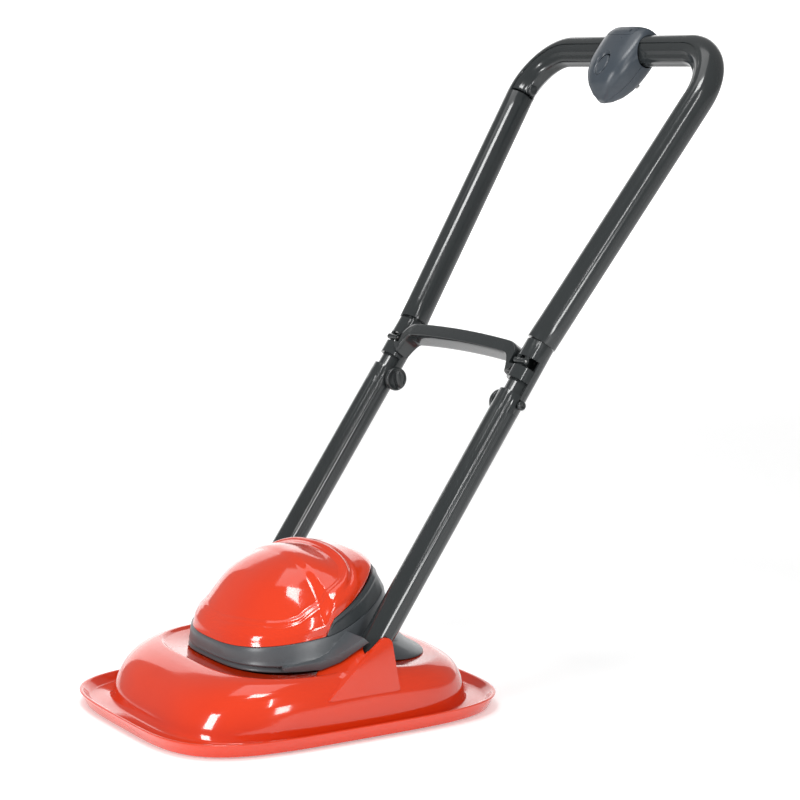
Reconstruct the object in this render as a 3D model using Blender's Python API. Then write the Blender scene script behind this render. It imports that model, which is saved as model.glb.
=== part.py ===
"""Hover-style push mower for pretend play, as an assembly of moulded parts.

Units: lengths below are millimetres, turned into metres when a mesh is made.
+Z is up, -Y is the front of the mower, X is lateral.  The floor is z = 0.
"""
import math

import bmesh
import bpy
from mathutils import Vector

MM = 0.001
GAP = 0.3                     # clearance between touching pieces
WALL = 2.4                    # moulded wall

# Deck
DECK_Y = -113.5               # centre of the deck, front to back
RIM_HALF_LENGTH = 171.5
RIM_HALF_WIDTH = 145.5
RIM_BOTTOM_Z = 2.0
RIM_TOP_Z = 14.6
TRAY_Z = 7.5
SHELF_Z = 53.4                # top of the dome behind the motor, before it falls away
RIM_POWER = 4.1               # squareness of the rim's outline
DOME_POWER = 3.3

# Motor housing
SURROUND_Y = -89.0
HOUSING_Y = -117.0
CROWN_SHIFT = 25.0            # the crown lies behind the middle of the foot
HOUSING_TOP_Z = 147.5
SEAM_Z = 72.0                 # cover seam at the front
SEAM_FRONT_Y = -192.0
ARM_INNER_X = 84.0
FLANGE_Z = 53.8               # foot of the collar at the front
TUBE_INNER_X = 94.4           # nothing of the housing stands further out beside a tube

# Handle
TUBE_X = 108.2
TUBE_BASE = (TUBE_X, -67.2, 101.2)
TUBE_R = 13.2
CORE_R = 10.2
BORE_R = 7.8
LOWER_LEAN = math.radians(34.7)
UPPER_LEAN = math.radians(34.4)
UPPER_R = 14.2
UPPER_BORE_R = 11.3
PIVOT_T = -41.6               # stations along the lower tube's axis
TONGUE_T = 206.0
BOLT_T = 216.6
BOLT_N = -4.0                 # the clamp bolts pass behind the tubes' axes
FULL_TUBE_T = 224.0
COLLAR_T = 236.4
CORE_END_T = 249.0
HINGE_T = 254.0
HINGE_N = 10.2                # hinge axis in front of the tube's axis
SLEEVE_T = 258.8
UPPER_T = 277.8
BAR_HALF = 148.6              # half-width of the upper handle at the grip
BAR_S = 318.9                 # from the upper tube's start to the grip's axis
BEND_R = 50.0
PIN_R = 3.0

# Wheels and drive
WHEEL_R = 14.0
WHEEL_WIDTH = 10.0
WHEEL_X = 86.0
FRONT_AXLE_Y = -190.0
REAR_AXLE_Y = -22.0
AXLE_R = 2.0
POST_X = 62.0                 # screw posts under the hood
POSTS = (("front", -211.0), ("rear", -9.0))
GEAR_TEETH = 24
PINION_TEETH = 12
TOOTH_PITCH_R = 0.55          # pitch radius per tooth

OVAL_STEPS = 36               # points round a plan outline

X_AXIS = Vector((1, 0, 0))
Z_AXIS = Vector((0, 0, 1))
CENTRING = Vector((0, -3.34, 0))   # puts the middle of the whole mower on x = y = 0

COLOURS = {
    "orange": ((0.807, 0.076, 0.018, 1), 0.22, 0.0),
    "charcoal": ((0.064, 0.072, 0.072, 1), 0.28, 0.0),
    "slate": ((0.062, 0.078, 0.095, 1), 0.36, 0.0),
    "grey": ((0.114, 0.122, 0.127, 1), 0.34, 0.0),
    "black": ((0.02, 0.02, 0.022, 1), 0.5, 0.0),
    "steel": ((0.55, 0.55, 0.54, 1), 0.32, 1.0),
    "white": ((0.75, 0.74, 0.70, 1), 0.45, 0.0),
}


# ---------------------------------------------------------------- scene helpers

def clear_scene():
    for obj in list(bpy.data.objects):
        bpy.data.objects.remove(obj, do_unlink=True)


def make_material(name, finish):
    colour, roughness, metallic = COLOURS[finish]
    material = bpy.data.materials.new(name)
    material.use_nodes = True
    shader = material.node_tree.nodes["Principled BSDF"]
    shader.inputs["Base Color"].default_value = colour
    shader.inputs["Roughness"].default_value = roughness
    shader.inputs["Metallic"].default_value = metallic
    return material


def make_body(name, location):
    empty = bpy.data.objects.new(name, None)
    empty.location = (Vector(location) + CENTRING) * MM
    empty.empty_display_size = 0.02
    bpy.context.scene.collection.objects.link(empty)
    return empty


def mesh_object(name, verts, faces, finish, body=None, smooth=True, angle=35):
    """Make one object from millimetre points given in the mower's frame."""
    origin = body.location if body else Vector()
    mesh = bpy.data.meshes.new(name)
    mesh.from_pydata([(Vector(v) + CENTRING) * MM - origin for v in verts], [], faces)
    work = bmesh.new()
    work.from_mesh(mesh)
    bmesh.ops.remove_doubles(work, verts=work.verts, dist=1e-6)
    bmesh.ops.recalc_face_normals(work, faces=work.faces)
    if work.calc_volume(signed=True) < 0:
        bmesh.ops.reverse_faces(work, faces=work.faces)
    work.to_mesh(mesh)
    work.free()
    if smooth:
        mesh.shade_smooth()
        mesh.set_sharp_from_angle(angle=math.radians(angle))
    mesh.materials.append(make_material(name + "_material", finish))
    obj = bpy.data.objects.new(name, mesh)
    bpy.context.scene.collection.objects.link(obj)
    if body:
        obj.parent = body
    return obj


def cutter(name, verts, faces, body=None):
    obj = mesh_object(name, verts, faces, "black", body, smooth=False)
    obj.hide_render = True
    obj.display_type = "WIRE"
    return obj


def boolean(obj, other, operation="DIFFERENCE"):
    modifier = obj.modifiers.new(operation.lower(), "BOOLEAN")
    modifier.operation = operation
    modifier.object = other
    modifier.solver = "EXACT"
    return obj


def add_shape(obj, verts, faces, body=None):
    return boolean(obj, cutter(obj.name + "_add", verts, faces, body), "UNION")


def cut_shape(obj, verts, faces, body=None):
    return boolean(obj, cutter(obj.name + "_cut", verts, faces, body))


# ---------------------------------------------------------------- shape helpers

def bridge(rings, wrap_rings=False, cap=True):
    """Join closed rings of equal length; cap the ends or join last to first."""
    count = len(rings[0])
    verts = [p for ring in rings for p in ring]
    faces = []
    last = len(rings) if wrap_rings else len(rings) - 1
    for i in range(last):
        a, b = i * count, (i + 1) % len(rings) * count
        for j in range(count):
            k = (j + 1) % count
            faces.append((a + j, a + k, b + k, b + j))
    if cap and not wrap_rings:
        faces.append(tuple(range(count))[::-1])
        faces.append(tuple((len(rings) - 1) * count + j for j in range(count)))
    return verts, faces


def patch(outer, inner):
    """Close two open grids of points into one shell."""
    rows, cols = len(outer), len(outer[0])
    verts = [p for row in outer for p in row] + [p for row in inner for p in row]
    base = rows * cols
    faces = []
    for i in range(rows - 1):
        for j in range(cols - 1):
            a = i * cols + j
            faces.append((a, a + 1, a + cols + 1, a + cols))
            faces.append((base + a, base + a + cols, base + a + cols + 1, base + a + 1))
    edge = [j for j in range(cols)]
    edge += [i * cols + cols - 1 for i in range(1, rows)]
    edge += [(rows - 1) * cols + j for j in range(cols - 2, -1, -1)]
    edge += [i * cols for i in range(rows - 2, 0, -1)]
    for a, b in zip(edge, edge[1:] + edge[:1]):
        faces.append((b, a, base + a, base + b))
    return verts, faces


def frame_of(direction, reference):
    """Two unit vectors across a direction, the first nearest the reference."""
    axis = Vector(direction).normalized()
    first = (Vector(reference) - axis * axis.dot(Vector(reference))).normalized()
    return first, axis.cross(first)


def turned(profile, start, direction, reference=(0, 0, 1), steps=20):
    """Turn (radius, height) points about an axis; a zero radius closes it."""
    first, second = frame_of(direction, reference)
    axis = Vector(direction).normalized()
    rings = []
    for radius, height in profile:
        centre = Vector(start) + axis * height
        radius = max(radius, 0.0)
        rings.append([centre + (first * math.cos(a) + second * math.sin(a)) * radius
                      for a in (math.tau * j / steps for j in range(steps))])
    return rings


def turned_solid(profile, start, direction, reference=(0, 0, 1), steps=20):
    return bridge(turned(profile, start, direction, reference, steps))


def turned_ring(profile, start, direction, reference=(0, 0, 1), steps=20):
    rings = turned(profile, start, direction, reference, steps)
    return bridge(rings, wrap_rings=True)


def rod(start, end, radius, steps=12):
    start, end = Vector(start), Vector(end)
    reference = Z_AXIS if abs((end - start).normalized().z) < 0.9 else X_AXIS
    length = (end - start).length
    return turned_solid([(radius, 0), (radius, length)], start, end - start, reference, steps)


def pipe(start, end, outer, inner, steps=20):
    start, end = Vector(start), Vector(end)
    reference = Z_AXIS if abs((end - start).normalized().z) < 0.9 else X_AXIS
    length = (end - start).length
    profile = [(outer, 0), (outer, length), (inner, length), (inner, 0)]
    return turned_ring(profile, start, end - start, reference, steps)


def block(low, high):
    xs, ys, zs = zip(low, high)
    verts = [(x, y, z) for z in zs for y in ys for x in xs]
    faces = [(0, 2, 3, 1), (4, 5, 7, 6), (0, 1, 5, 4), (2, 6, 7, 3), (0, 4, 6, 2), (1, 3, 7, 5)]
    return verts, faces


def prism(outline, start, end):
    """Extrude a closed outline of points by the vector from start to end."""
    shift = Vector(end) - Vector(start)
    near = [Vector(p) for p in outline]
    return bridge([near, [p + shift for p in near]])


def oval_ring(centre_y, front, rear, half_width, height, power, taper=0.0,
              steps=OVAL_STEPS, rear_power=None):
    """Squared oval in plan; height is a number or a function of y."""
    points = []
    for j in range(steps):
        angle = math.tau * (j + 0.5) / steps
        c, s = math.cos(angle), math.sin(angle)
        square = 2 / (rear_power if rear_power and s > 0 else power)
        x = half_width * math.copysign(abs(c) ** square, c)
        y = (rear if s > 0 else front) * math.copysign(abs(s) ** square, s)
        if y < 0:
            x *= 1 + taper * y / front
        y += centre_y
        points.append(Vector((x, y, height(y) if callable(height) else height)))
    return points


# ---------------------------------------------------------------- deck

def smooth(share):
    share = min(max(share, 0.0), 1.0)
    return share * share * (3 - 2 * share)


def deck_rise(y):
    """The deck's top rises a little towards the handle and falls away behind it."""
    return 2.0 * smooth((y + 150) / 45) - 4.5 * smooth((y + 100) / 90)


def dome_height(z, shelf):
    """Height on the dome; behind the motor nothing stands above the shelf."""
    def height(y):
        level = z - max(0.0, z - shelf) * smooth((y + 88) / 36)
        return level + deck_rise(y) * min(max((z - 20) / 30, 0), 1)
    return height


def hood_rings():
    """Section through the hood, from the rim's outer foot round to its inner foot."""
    power, dome = RIM_POWER, DOME_POWER
    length, width = RIM_HALF_LENGTH, RIM_HALF_WIDTH

    def rim(inset, z):
        return oval_ring(DECK_Y, length - inset, length - inset, width - inset, z, power)

    def ring(front, rear, half_width, z, shelf=SHELF_Z):
        return oval_ring(DECK_Y, front, rear, half_width, dome_height(z, shelf), dome, 0.03)

    def under(front, rear, half_width, z):
        return ring(front, rear, half_width, z, SHELF_Z - 2.6)

    outside = [rim(6, RIM_BOTTOM_Z), rim(0.6, RIM_TOP_Z - 1.2), rim(0, RIM_TOP_Z - 0.5),
               rim(0.8, RIM_TOP_Z), rim(2.8, RIM_TOP_Z), rim(3.6, RIM_TOP_Z - 1),
               rim(7.5, TRAY_Z + 0.8), rim(9, TRAY_Z),
               ring(151, 151.5, 135.6, TRAY_Z), ring(148.5, 149, 134.2, TRAY_Z + 2),
               ring(143.5, 146.5, 133.6, 22), ring(135.5, 141.5, 132.2, 36),
               ring(125, 134.5, 128.5, 46), ring(112.5, 123.5, 122.5, 52.6),
               ring(99.5, 109.5, 115, 55.8), ring(88, 98.5, 106.5, 55.2), ring(76.5, 91.5, 92, 52.4)]
    inside = [under(75.5, 89.5, 90, 49.8), under(87, 96.5, 104.6, 52.6), under(98, 107.5, 112.6, 53.2),
              under(111, 121.5, 120.2, 50.2), under(123, 132, 126, 44),
              under(133.3, 139.2, 129.8, 34.6), under(141.2, 144.1, 131.2, 21),
              under(145.6, 146.1, 131.8, TRAY_Z - 2.4), rim(10, TRAY_Z - 2.4),
              rim(8.6, RIM_BOTTOM_Z)]
    return outside + inside


def ear_outline(side, x):
    """Flat pivot ear, seen from the side, at the given |x|."""
    apex_y, apex_z, radius = -84.5, 77.0, 7.0
    arc = [(side * x, apex_y + radius * math.cos(a), apex_z + radius * math.sin(a))
           for a in (math.radians(d) for d in (5, 30, 60, 90, 120, 142))]
    return arc + [(side * x, -146.0, 38.0), (side * x, -74.0, 38.0)]


# Front edge of an ear and, above it, the edge that runs below a side arm: y, z, |x|, z.
WEB_STATIONS = ((-137, 45.0, 98, 55.5), (-119.6, 58.4, 104.5, 62.9), (-105.8, 69.1, 110, 75.2),
                (-100.4, 73.3, 110, 79.2))
# Side view of the room round the tube's lower end and below the tilted tube.
POCKET = ((-107, 44), (-107, 62), (-105.2, 66), (-102.6, 74.5), (-95.5, 84.8), (-60, 84.8),
          (-69, 57.8), (-77, 55.9), (-77, 44))


def pylon_web(side):
    """Sloping wall between an ear's front edge and the side arm."""
    rings = []
    for y, ear_z, arm_x, arm_z in WEB_STATIONS:
        ring = []
        for x, top, drop in ((arm_x, arm_z, 0), (123, ear_z, 0), (123, ear_z, ear_z - 40),
                             (arm_x, arm_z, arm_z - 40)):
            ring.append(Vector((side * x, y - 0.633 * drop, top - drop)))
        rings.append(ring)
    return bridge(rings)


def make_hood():
    hood = mesh_object("hood", *bridge(hood_rings(), wrap_rings=True), "orange", angle=40)
    for side in (-1, 1):
        ear = ear_outline(side, 121.9)
        top_x, foot_x = side * 125.6, side * 132.6
        outer = [(top_x if p[2] > 60 else foot_x, p[1], p[2]) for p in ear]
        add_shape(hood, *bridge([[Vector(p) for p in ear], [Vector(p) for p in outer]]))
        add_shape(hood, *pylon_web(side))
        for (_, y), top in zip(POSTS, (53, 49.8)):
            add_shape(hood, *rod((side * POST_X, y, 9.2), (side * POST_X, y, top), 4, 10))
    for side in (-1, 1):
        pocket = [(side * 88.4, y, z) for y, z in POCKET]
        cut_shape(hood, *prism(pocket, (0, 0, 0), (side * 33.2, 0, 0)))
        pin = pivot_point(side)
        cut_shape(hood, *rod((side * 88, pin.y, pin.z), (side * 124.6, pin.y, pin.z), PIN_R + GAP))
    return hood


def pivot_point(side):
    return lower_point(side, PIVOT_T)


def ledge_z(y):
    """Height of the collar's top edge, which climbs towards the back."""
    straight = SEAM_Z + 0.156 * (y - SEAM_FRONT_Y)
    climb = 0.034 * max(0.0, y + 122) ** 1.5
    return min(straight + climb, 112 + 0.06 * (y + 58))


def cover_edge_z(y):
    """Height of the cover's lower edge: along the collar, then a step up and steadily back."""
    back = min(96 + 0.58 * (y + 120), 129.5 + 0.1 * (y + 62))
    return ledge_z(y) + (back - ledge_z(y)) * smooth((y + 125) / 9)


def housing_ring(level, height, grow=0.0, steps=OVAL_STEPS):
    """Plan outline of the motor housing at a level from 0 (foot) to 1 (crown)."""
    size = math.cos(level * math.pi / 2)
    centre = HOUSING_Y + CROWN_SHIFT * level
    return oval_ring(centre, (75 - grow) * size, (72 - grow) * size, (91 - grow) * size,
                     height, 2.7 - 0.4 * level, 0.12, steps, 2.1)


def housing_height(level):
    return math.sin(level * math.pi / 2) ** 1.15


def cover_rings(foot_z, grow, top_z, levels):
    rings = []
    for level in levels:
        def height(y, rise=housing_height(level)):
            low = foot_z(y)
            return low + (top_z - low) * rise
        rings.append(housing_ring(level, height, grow))
    return rings


COVER_LEVELS = (0.0, 0.1, 0.22, 0.35, 0.48, 0.6, 0.72, 0.84, 0.94)


def side_recess(ring, inset):
    """Pull the outline in beside the lower tubes."""
    for point in ring:
        share = min(max((point.y + 126) / 18, 0), 1)
        limit = 106 - (106 - TUBE_INNER_X) * share - inset
        if abs(point.x) > limit:
            point.x = math.copysign(limit, point.x)
    return ring


def make_surround():
    def foot(rise):
        return lambda y: FLANGE_Z + deck_rise(y) + rise

    def flange(inset, rise, recess):
        back = 88 - inset * 1.6
        ring = oval_ring(SURROUND_Y, 104 - inset * 0.4, back, 97 - inset * 0.6, foot(rise), 3.4, 0.12)
        return side_recess(ring, recess)

    def collar(inset, height, recess, flare=0.0):
        ring = oval_ring(HOUSING_Y, 75 - inset, 84 - inset + flare, 92 - inset + 0.2 * flare, height, 2.9,
                         0.12, rear_power=2.5)
        return side_recess(ring, recess)

    def mid(share):
        return lambda y: foot(0)(y) + (ledge_z(y) - foot(0)(y)) * share

    outside = [flange(0, 0, 0), flange(0.4, 1.6, 0.2), flange(4, 3.6, 0.4),
               collar(-1.2, mid(0.25), 1.3, 14), collar(-0.8, mid(0.42), 1.4, 9),
               collar(-0.4, mid(0.8), 1.4, 2), collar(0, ledge_z, 1.4)]
    inside = [collar(2.6, ledge_z, 3.8), collar(2.0, mid(0.4), 3.7, 9), flange(8.4, 2.4, 3.6),
              flange(6, 0, 3.0)]
    surround = mesh_object("motor_surround", *bridge(outside + inside, wrap_rings=True), "grey")
    for side in (-1, 1):
        add_shape(surround, *arm_shape(side))
        cheek = [(side * 94.1, y, z) for y, z in ((-105, 50), (-105, 75), (-99, 79.5), (-86, 79.5),
                                                  (-78.4, 73), (-78.4, 50))]
        add_shape(surround, *prism(cheek, (0, 0, 0), (side * -5.2, 0, 0)))
        pin = pivot_point(side)
        cut_shape(surround, *rod((side * 88, pin.y, pin.z), (side * 97, pin.y, pin.z), PIN_R + GAP))
    return surround


# Stations of a side arm: y, z, outer |x|, half its width, direction across it (y, z).
ARM_STATIONS = ((-165, 58.6, 88, 1.6, (0.0, 1.0)), (-136, 60.6, 101, 3.6, (-0.2, 0.98)),
                (-122, 66.5, 108, 3.6, (-0.6, 0.8)), (-101.8, 83.6, 121.4, 3.4, (-0.72, 0.69)))


def arm_shape(side):
    """Tick-shaped strip on each side of the collar that stops the handle."""
    rings = []
    for y, z, outer_x, half, (across_y, across_z) in ARM_STATIONS:
        corners = []
        for x, way in ((ARM_INNER_X, -1), (outer_x, -1), (outer_x, 1), (ARM_INNER_X, 1)):
            corners.append(Vector((side * x, y + way * half * across_y, z + way * half * across_z)))
        rings.append(corners)
    return bridge(rings)


def make_cover():
    def foot(y):
        return cover_edge_z(y) + GAP + 0.1

    outside = cover_rings(foot, 0, HOUSING_TOP_Z, COVER_LEVELS)
    inside = cover_rings(foot, WALL, HOUSING_TOP_Z - WALL, COVER_LEVELS)
    crown = Vector((0, HOUSING_Y + 20, HOUSING_TOP_Z))
    outside.append([crown + (p - crown) * 0.02 for p in outside[-1]])
    verts, faces = bridge(outside, cap=False)
    count = len(outside[0])
    start = len(verts)
    inner_crown = crown - Z_AXIS * WALL
    inside.append([inner_crown + (p - inner_crown) * 0.02 for p in inside[-1]])
    inner_verts, inner_faces = bridge(inside, cap=False)
    verts += inner_verts
    faces += [tuple(start + i for i in face[::-1]) for face in inner_faces]
    faces.append(tuple(range(start - count, start)))
    faces.append(tuple(range(len(verts) - count, len(verts)))[::-1])
    for j in range(count):
        k = (j + 1) % count
        faces.append((j, k, start + k, start + j))
    return mesh_object("motor_cover", verts, faces, "orange", angle=50)


def make_rear_panel():
    """Dark band behind the cover, between the collar's edge and the cover's."""
    rows = 5
    outer_rings, inner_rings = [], []
    for i in range(rows):
        share = i / (rows - 1)

        def height(y):
            low = ledge_z(y) + 2 * GAP
            return low + max(cover_edge_z(y) - 0.4 - low, 0.4) * share
        size = (75, 83 - 8 * share, 91.6 - 0.6 * share)
        power = 2.5 - 0.3 * share
        outer_rings.append(oval_ring(HOUSING_Y, *size, height, 2.8, 0.12, rear_power=power))
        thin = [side - WALL for side in size]
        inner_rings.append(oval_ring(HOUSING_Y, *thin, height, 2.8, 0.12, rear_power=power))
    keep = [j for j, p in enumerate(outer_rings[0]) if cover_edge_z(p.y) - ledge_z(p.y) > 3]
    first = OVAL_STEPS * 3 // 4
    keep = [j for j in keep if j > first] + [j for j in keep if j <= first]
    outer = [[ring[j] for j in keep] for ring in outer_rings]
    inner = [[ring[j] for j in keep] for ring in inner_rings]
    return mesh_object("cover_rear_panel", *patch(outer, inner), "black")


def make_base_plate():
    outline = oval_ring(DECK_Y, 133, 130, 126, 6.2, DOME_POWER, 0.03, 40)
    top = [p + Z_AXIS * 2.4 for p in outline]
    plate = mesh_object("base_plate", *bridge([outline, top]), "black")
    for y in (FRONT_AXLE_Y, REAR_AXLE_Y):
        for side in (-1, 1):
            centre = Vector((side * WHEEL_X, y, 7.5))
            half = Vector((WHEEL_WIDTH / 2 + 2, WHEEL_R + 2, 4))
            cut_shape(plate, *block(centre - half, centre + half))
    for _, y in POSTS:
        for side in (-1, 1):
            cut_shape(plate, *rod((side * POST_X, y, 4), (side * POST_X, y, 12), 2, 12))
    cut_shape(plate, *block((-12, REAR_AXLE_Y - 17, 4), (12, REAR_AXLE_Y + 16, 11)))
    return plate


def make_base_screws():
    for label, y in POSTS:
        for hand, side in (("left", 1), ("right", -1)):
            profile = [(3.2, 0), (3.2, 1.4), (1.5, 1.5), (1.5, 3.2)]
            start = (side * POST_X, y, 4.3)
            mesh_object(f"base_screw_{label}_{hand}", *turned_solid(profile, start, Z_AXIS, X_AXIS, 12),
                        "steel")


def make_axle_saddles():
    """Plain bearings that stand on the base plate and carry the axles."""
    for label, y in (("front", FRONT_AXLE_Y), ("rear", REAR_AXLE_Y)):
        for hand, side in (("left", 1), ("right", -1)):
            low = (side * 70 - 3, y - 6, 8.9)
            high = (side * 70 + 3, y + 6, WHEEL_R + 5)
            saddle = mesh_object(f"axle_saddle_{label}_{hand}", *block(low, high), "white", smooth=False)
            cut_shape(saddle, *rod((side * 70 - 5, y, WHEEL_R), (side * 70 + 5, y, WHEEL_R), AXLE_R + GAP))


def make_pivot_pins():
    for hand, side in (("left", 1), ("right", -1)):
        pin = pivot_point(side)
        profile = [(PIN_R, 0), (PIN_R, 34.5), (PIN_R - 0.8, 35.3)]
        mesh_object(f"pivot_pin_{hand}",
                    *turned_solid(profile, (side * 88.8, pin.y, pin.z), X_AXIS * side, Z_AXIS, 16), "steel")


# ---------------------------------------------------------------- wheels and clicker

def gear_outline(teeth, centre, x):
    pitch = TOOTH_PITCH_R * teeth
    addendum, dedendum = 0.42, 0.62
    points = []
    for tooth in range(teeth):
        for share, radius in ((-0.20, pitch - dedendum), (-0.10, pitch + addendum),
                              (0.10, pitch + addendum), (0.20, pitch - dedendum)):
            angle = math.tau * (tooth + share) / teeth
            points.append(Vector((x, centre[0] + radius * math.cos(angle),
                                  centre[1] + radius * math.sin(angle))))
    return points


def make_axle(label, y, body):
    profile = [(AXLE_R - 0.4, 0), (AXLE_R, 0.4), (AXLE_R, 185.6), (AXLE_R - 0.4, 186)]
    mesh_object(f"{label}_axle_rod", *turned_solid(profile, (-93, y, WHEEL_R), X_AXIS, Z_AXIS, 16),
                "steel", body)
    for hand, side in (("left", 1), ("right", -1)):
        profile = [(2.3, -6), (5, -6), (5, -3.5), (11.6, -3.5), (11.6, -5), (WHEEL_R, -4.4),
                   (WHEEL_R, 4.4), (11.6, 5), (11.6, 2), (2.3, 2)]
        mesh_object(f"{label}_wheel_{hand}",
                    *turned_ring(profile, (side * WHEEL_X, y, WHEEL_R), X_AXIS * side, Z_AXIS, 18),
                    "black", body)


def clicker_centre():
    """At this angle a tooth of one gear faces a gap of the other."""
    distance = TOOTH_PITCH_R * (GEAR_TEETH + PINION_TEETH) + 0.25
    angle = math.radians(35)
    return REAR_AXLE_Y - distance * math.cos(angle), WHEEL_R + distance * math.sin(angle)


def make_drive(rear_body, clicker_body):
    gear = gear_outline(GEAR_TEETH, (REAR_AXLE_Y, WHEEL_R), -3)
    obj = mesh_object("drive_gear", *prism(gear, (0, 0, 0), (6, 0, 0)), "white", rear_body, angle=20)
    cut_shape(obj, *rod((-5, REAR_AXLE_Y, WHEEL_R), (5, REAR_AXLE_Y, WHEEL_R), AXLE_R + GAP), rear_body)
    y, z = clicker_centre()
    pinion = gear_outline(PINION_TEETH, (y, z), -3.4)
    shaft = mesh_object("clicker_shaft", *prism(pinion, (0, 0, 0), (6.8, 0, 0)), "white",
                        clicker_body, angle=20)
    add_shape(shaft, *rod((-9.8, y, z), (9.8, y, z), 1.6, 12), clicker_body)
    teeth = 10
    ratchet = []
    for tooth in range(teeth):
        for share, radius in ((0.0, 4.0), (0.85, 6.4), (0.95, 6.4)):
            angle = math.tau * (tooth + share) / teeth
            ratchet.append(Vector((4.4, y + radius * math.cos(angle), z + radius * math.sin(angle))))
    wheel = mesh_object("ratchet_wheel", *prism(ratchet, (0, 0, 0), (3, 0, 0)), "white",
                        clicker_body, angle=20)
    cut_shape(wheel, *rod((3, y, z), (9, y, z), 1.6 + GAP, 12), clicker_body)


def make_clicker_case():
    y, z = clicker_centre()
    case = mesh_object("clicker_case", *block((-12.5, y - 12, 8.9), (12.5, y + 9.5, z + 9)), "white",
                       smooth=False)
    cut_shape(case, *block((-9.2, y - 9.5, 11.4), (9.2, y + 12, z + 12)))
    cut_shape(case, *rod((-14, y, z), (14, y, z), 1.9, 12))
    cut_shape(case, *block((-4.4, y - 1, 7), (4.4, y + 12, 14)))
    lid = block((-12.5, y - 12, z + 9.4), (12.5, y + 4, z + 11.2))
    mesh_object("clicker_lid", *lid, "white", smooth=False)
    reed = [(4.6, y - 8.6, z + 9.1), (4.6, y - 6.6, z + 9.1), (4.6, y - 5.9, z + 4.2),
            (4.6, y - 6.7, z + 4.0)]
    mesh_object("clicker_reed", *prism([Vector(p) for p in reed], (0, 0, 0), (2.6, 0, 0)), "steel",
                smooth=False)


# ---------------------------------------------------------------- lower frame

LOWER_DIR = Vector((0, math.sin(LOWER_LEAN), math.cos(LOWER_LEAN)))
LOWER_FRONT = Vector((0, -math.cos(LOWER_LEAN), math.sin(LOWER_LEAN)))


def lower_point(side, along, front=0.0, outward=0.0):
    """Point on a lower tube: along its axis, to its front and to its outer side."""
    base = Vector((side * TUBE_BASE[0], TUBE_BASE[1], TUBE_BASE[2]))
    return base + LOWER_DIR * along + LOWER_FRONT * front + X_AXIS * side * outward


def half_ring(side, start, end, outer, inner, front, trim=GAP / 2, steps=9):
    """Half of a ring round a lower tube, on its front or its rear side."""
    sign = 1 if front else -1
    low = math.asin(trim / outer), math.asin(trim / inner)
    points = []
    for radius, first, back in ((outer, low[0], False), (inner, low[1], True)):
        angles = [first + (math.pi - 2 * first) * j / steps for j in range(steps + 1)]
        for angle in (angles[::-1] if back else angles):
            points.append((radius * math.cos(angle), sign * radius * math.sin(angle)))
    rings = []
    for along in (start, end):
        rings.append([lower_point(side, along, n, x) for x, n in points])
    return bridge(rings)


def make_lower_tube(hand, side, body):
    eye = PIVOT_T - TUBE_R
    dome = [(TUBE_R * math.sin(a), eye + TUBE_R * (1 - math.cos(a)))
            for a in (math.radians(d) for d in (8, 25, 45, 65, 90))]
    profile = dome + [(TUBE_R, TONGUE_T), (CORE_R, TONGUE_T), (CORE_R, CORE_END_T),
                      (BORE_R, CORE_END_T), (BORE_R, -12), (1, -12)]
    tube = mesh_object(f"lower_tube_{hand}",
                       *turned_solid(profile, lower_point(side, 0), LOWER_DIR, X_AXIS, 20),
                       "charcoal", body)
    add_shape(tube, *half_ring(side, TONGUE_T - 2, FULL_TUBE_T, TUBE_R, CORE_R - 0.6, True), body)
    pin = pivot_point(side)
    cut_shape(tube, *rod((side * 90, pin.y, pin.z), (side * 126, pin.y, pin.z), PIN_R + GAP), body)
    bolt = lower_point(side, BOLT_T, BOLT_N)
    cut_shape(tube, *rod((side * 90, bolt.y, bolt.z), (side * 126, bolt.y, bolt.z), 2.8, 16), body)
    return tube


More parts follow.
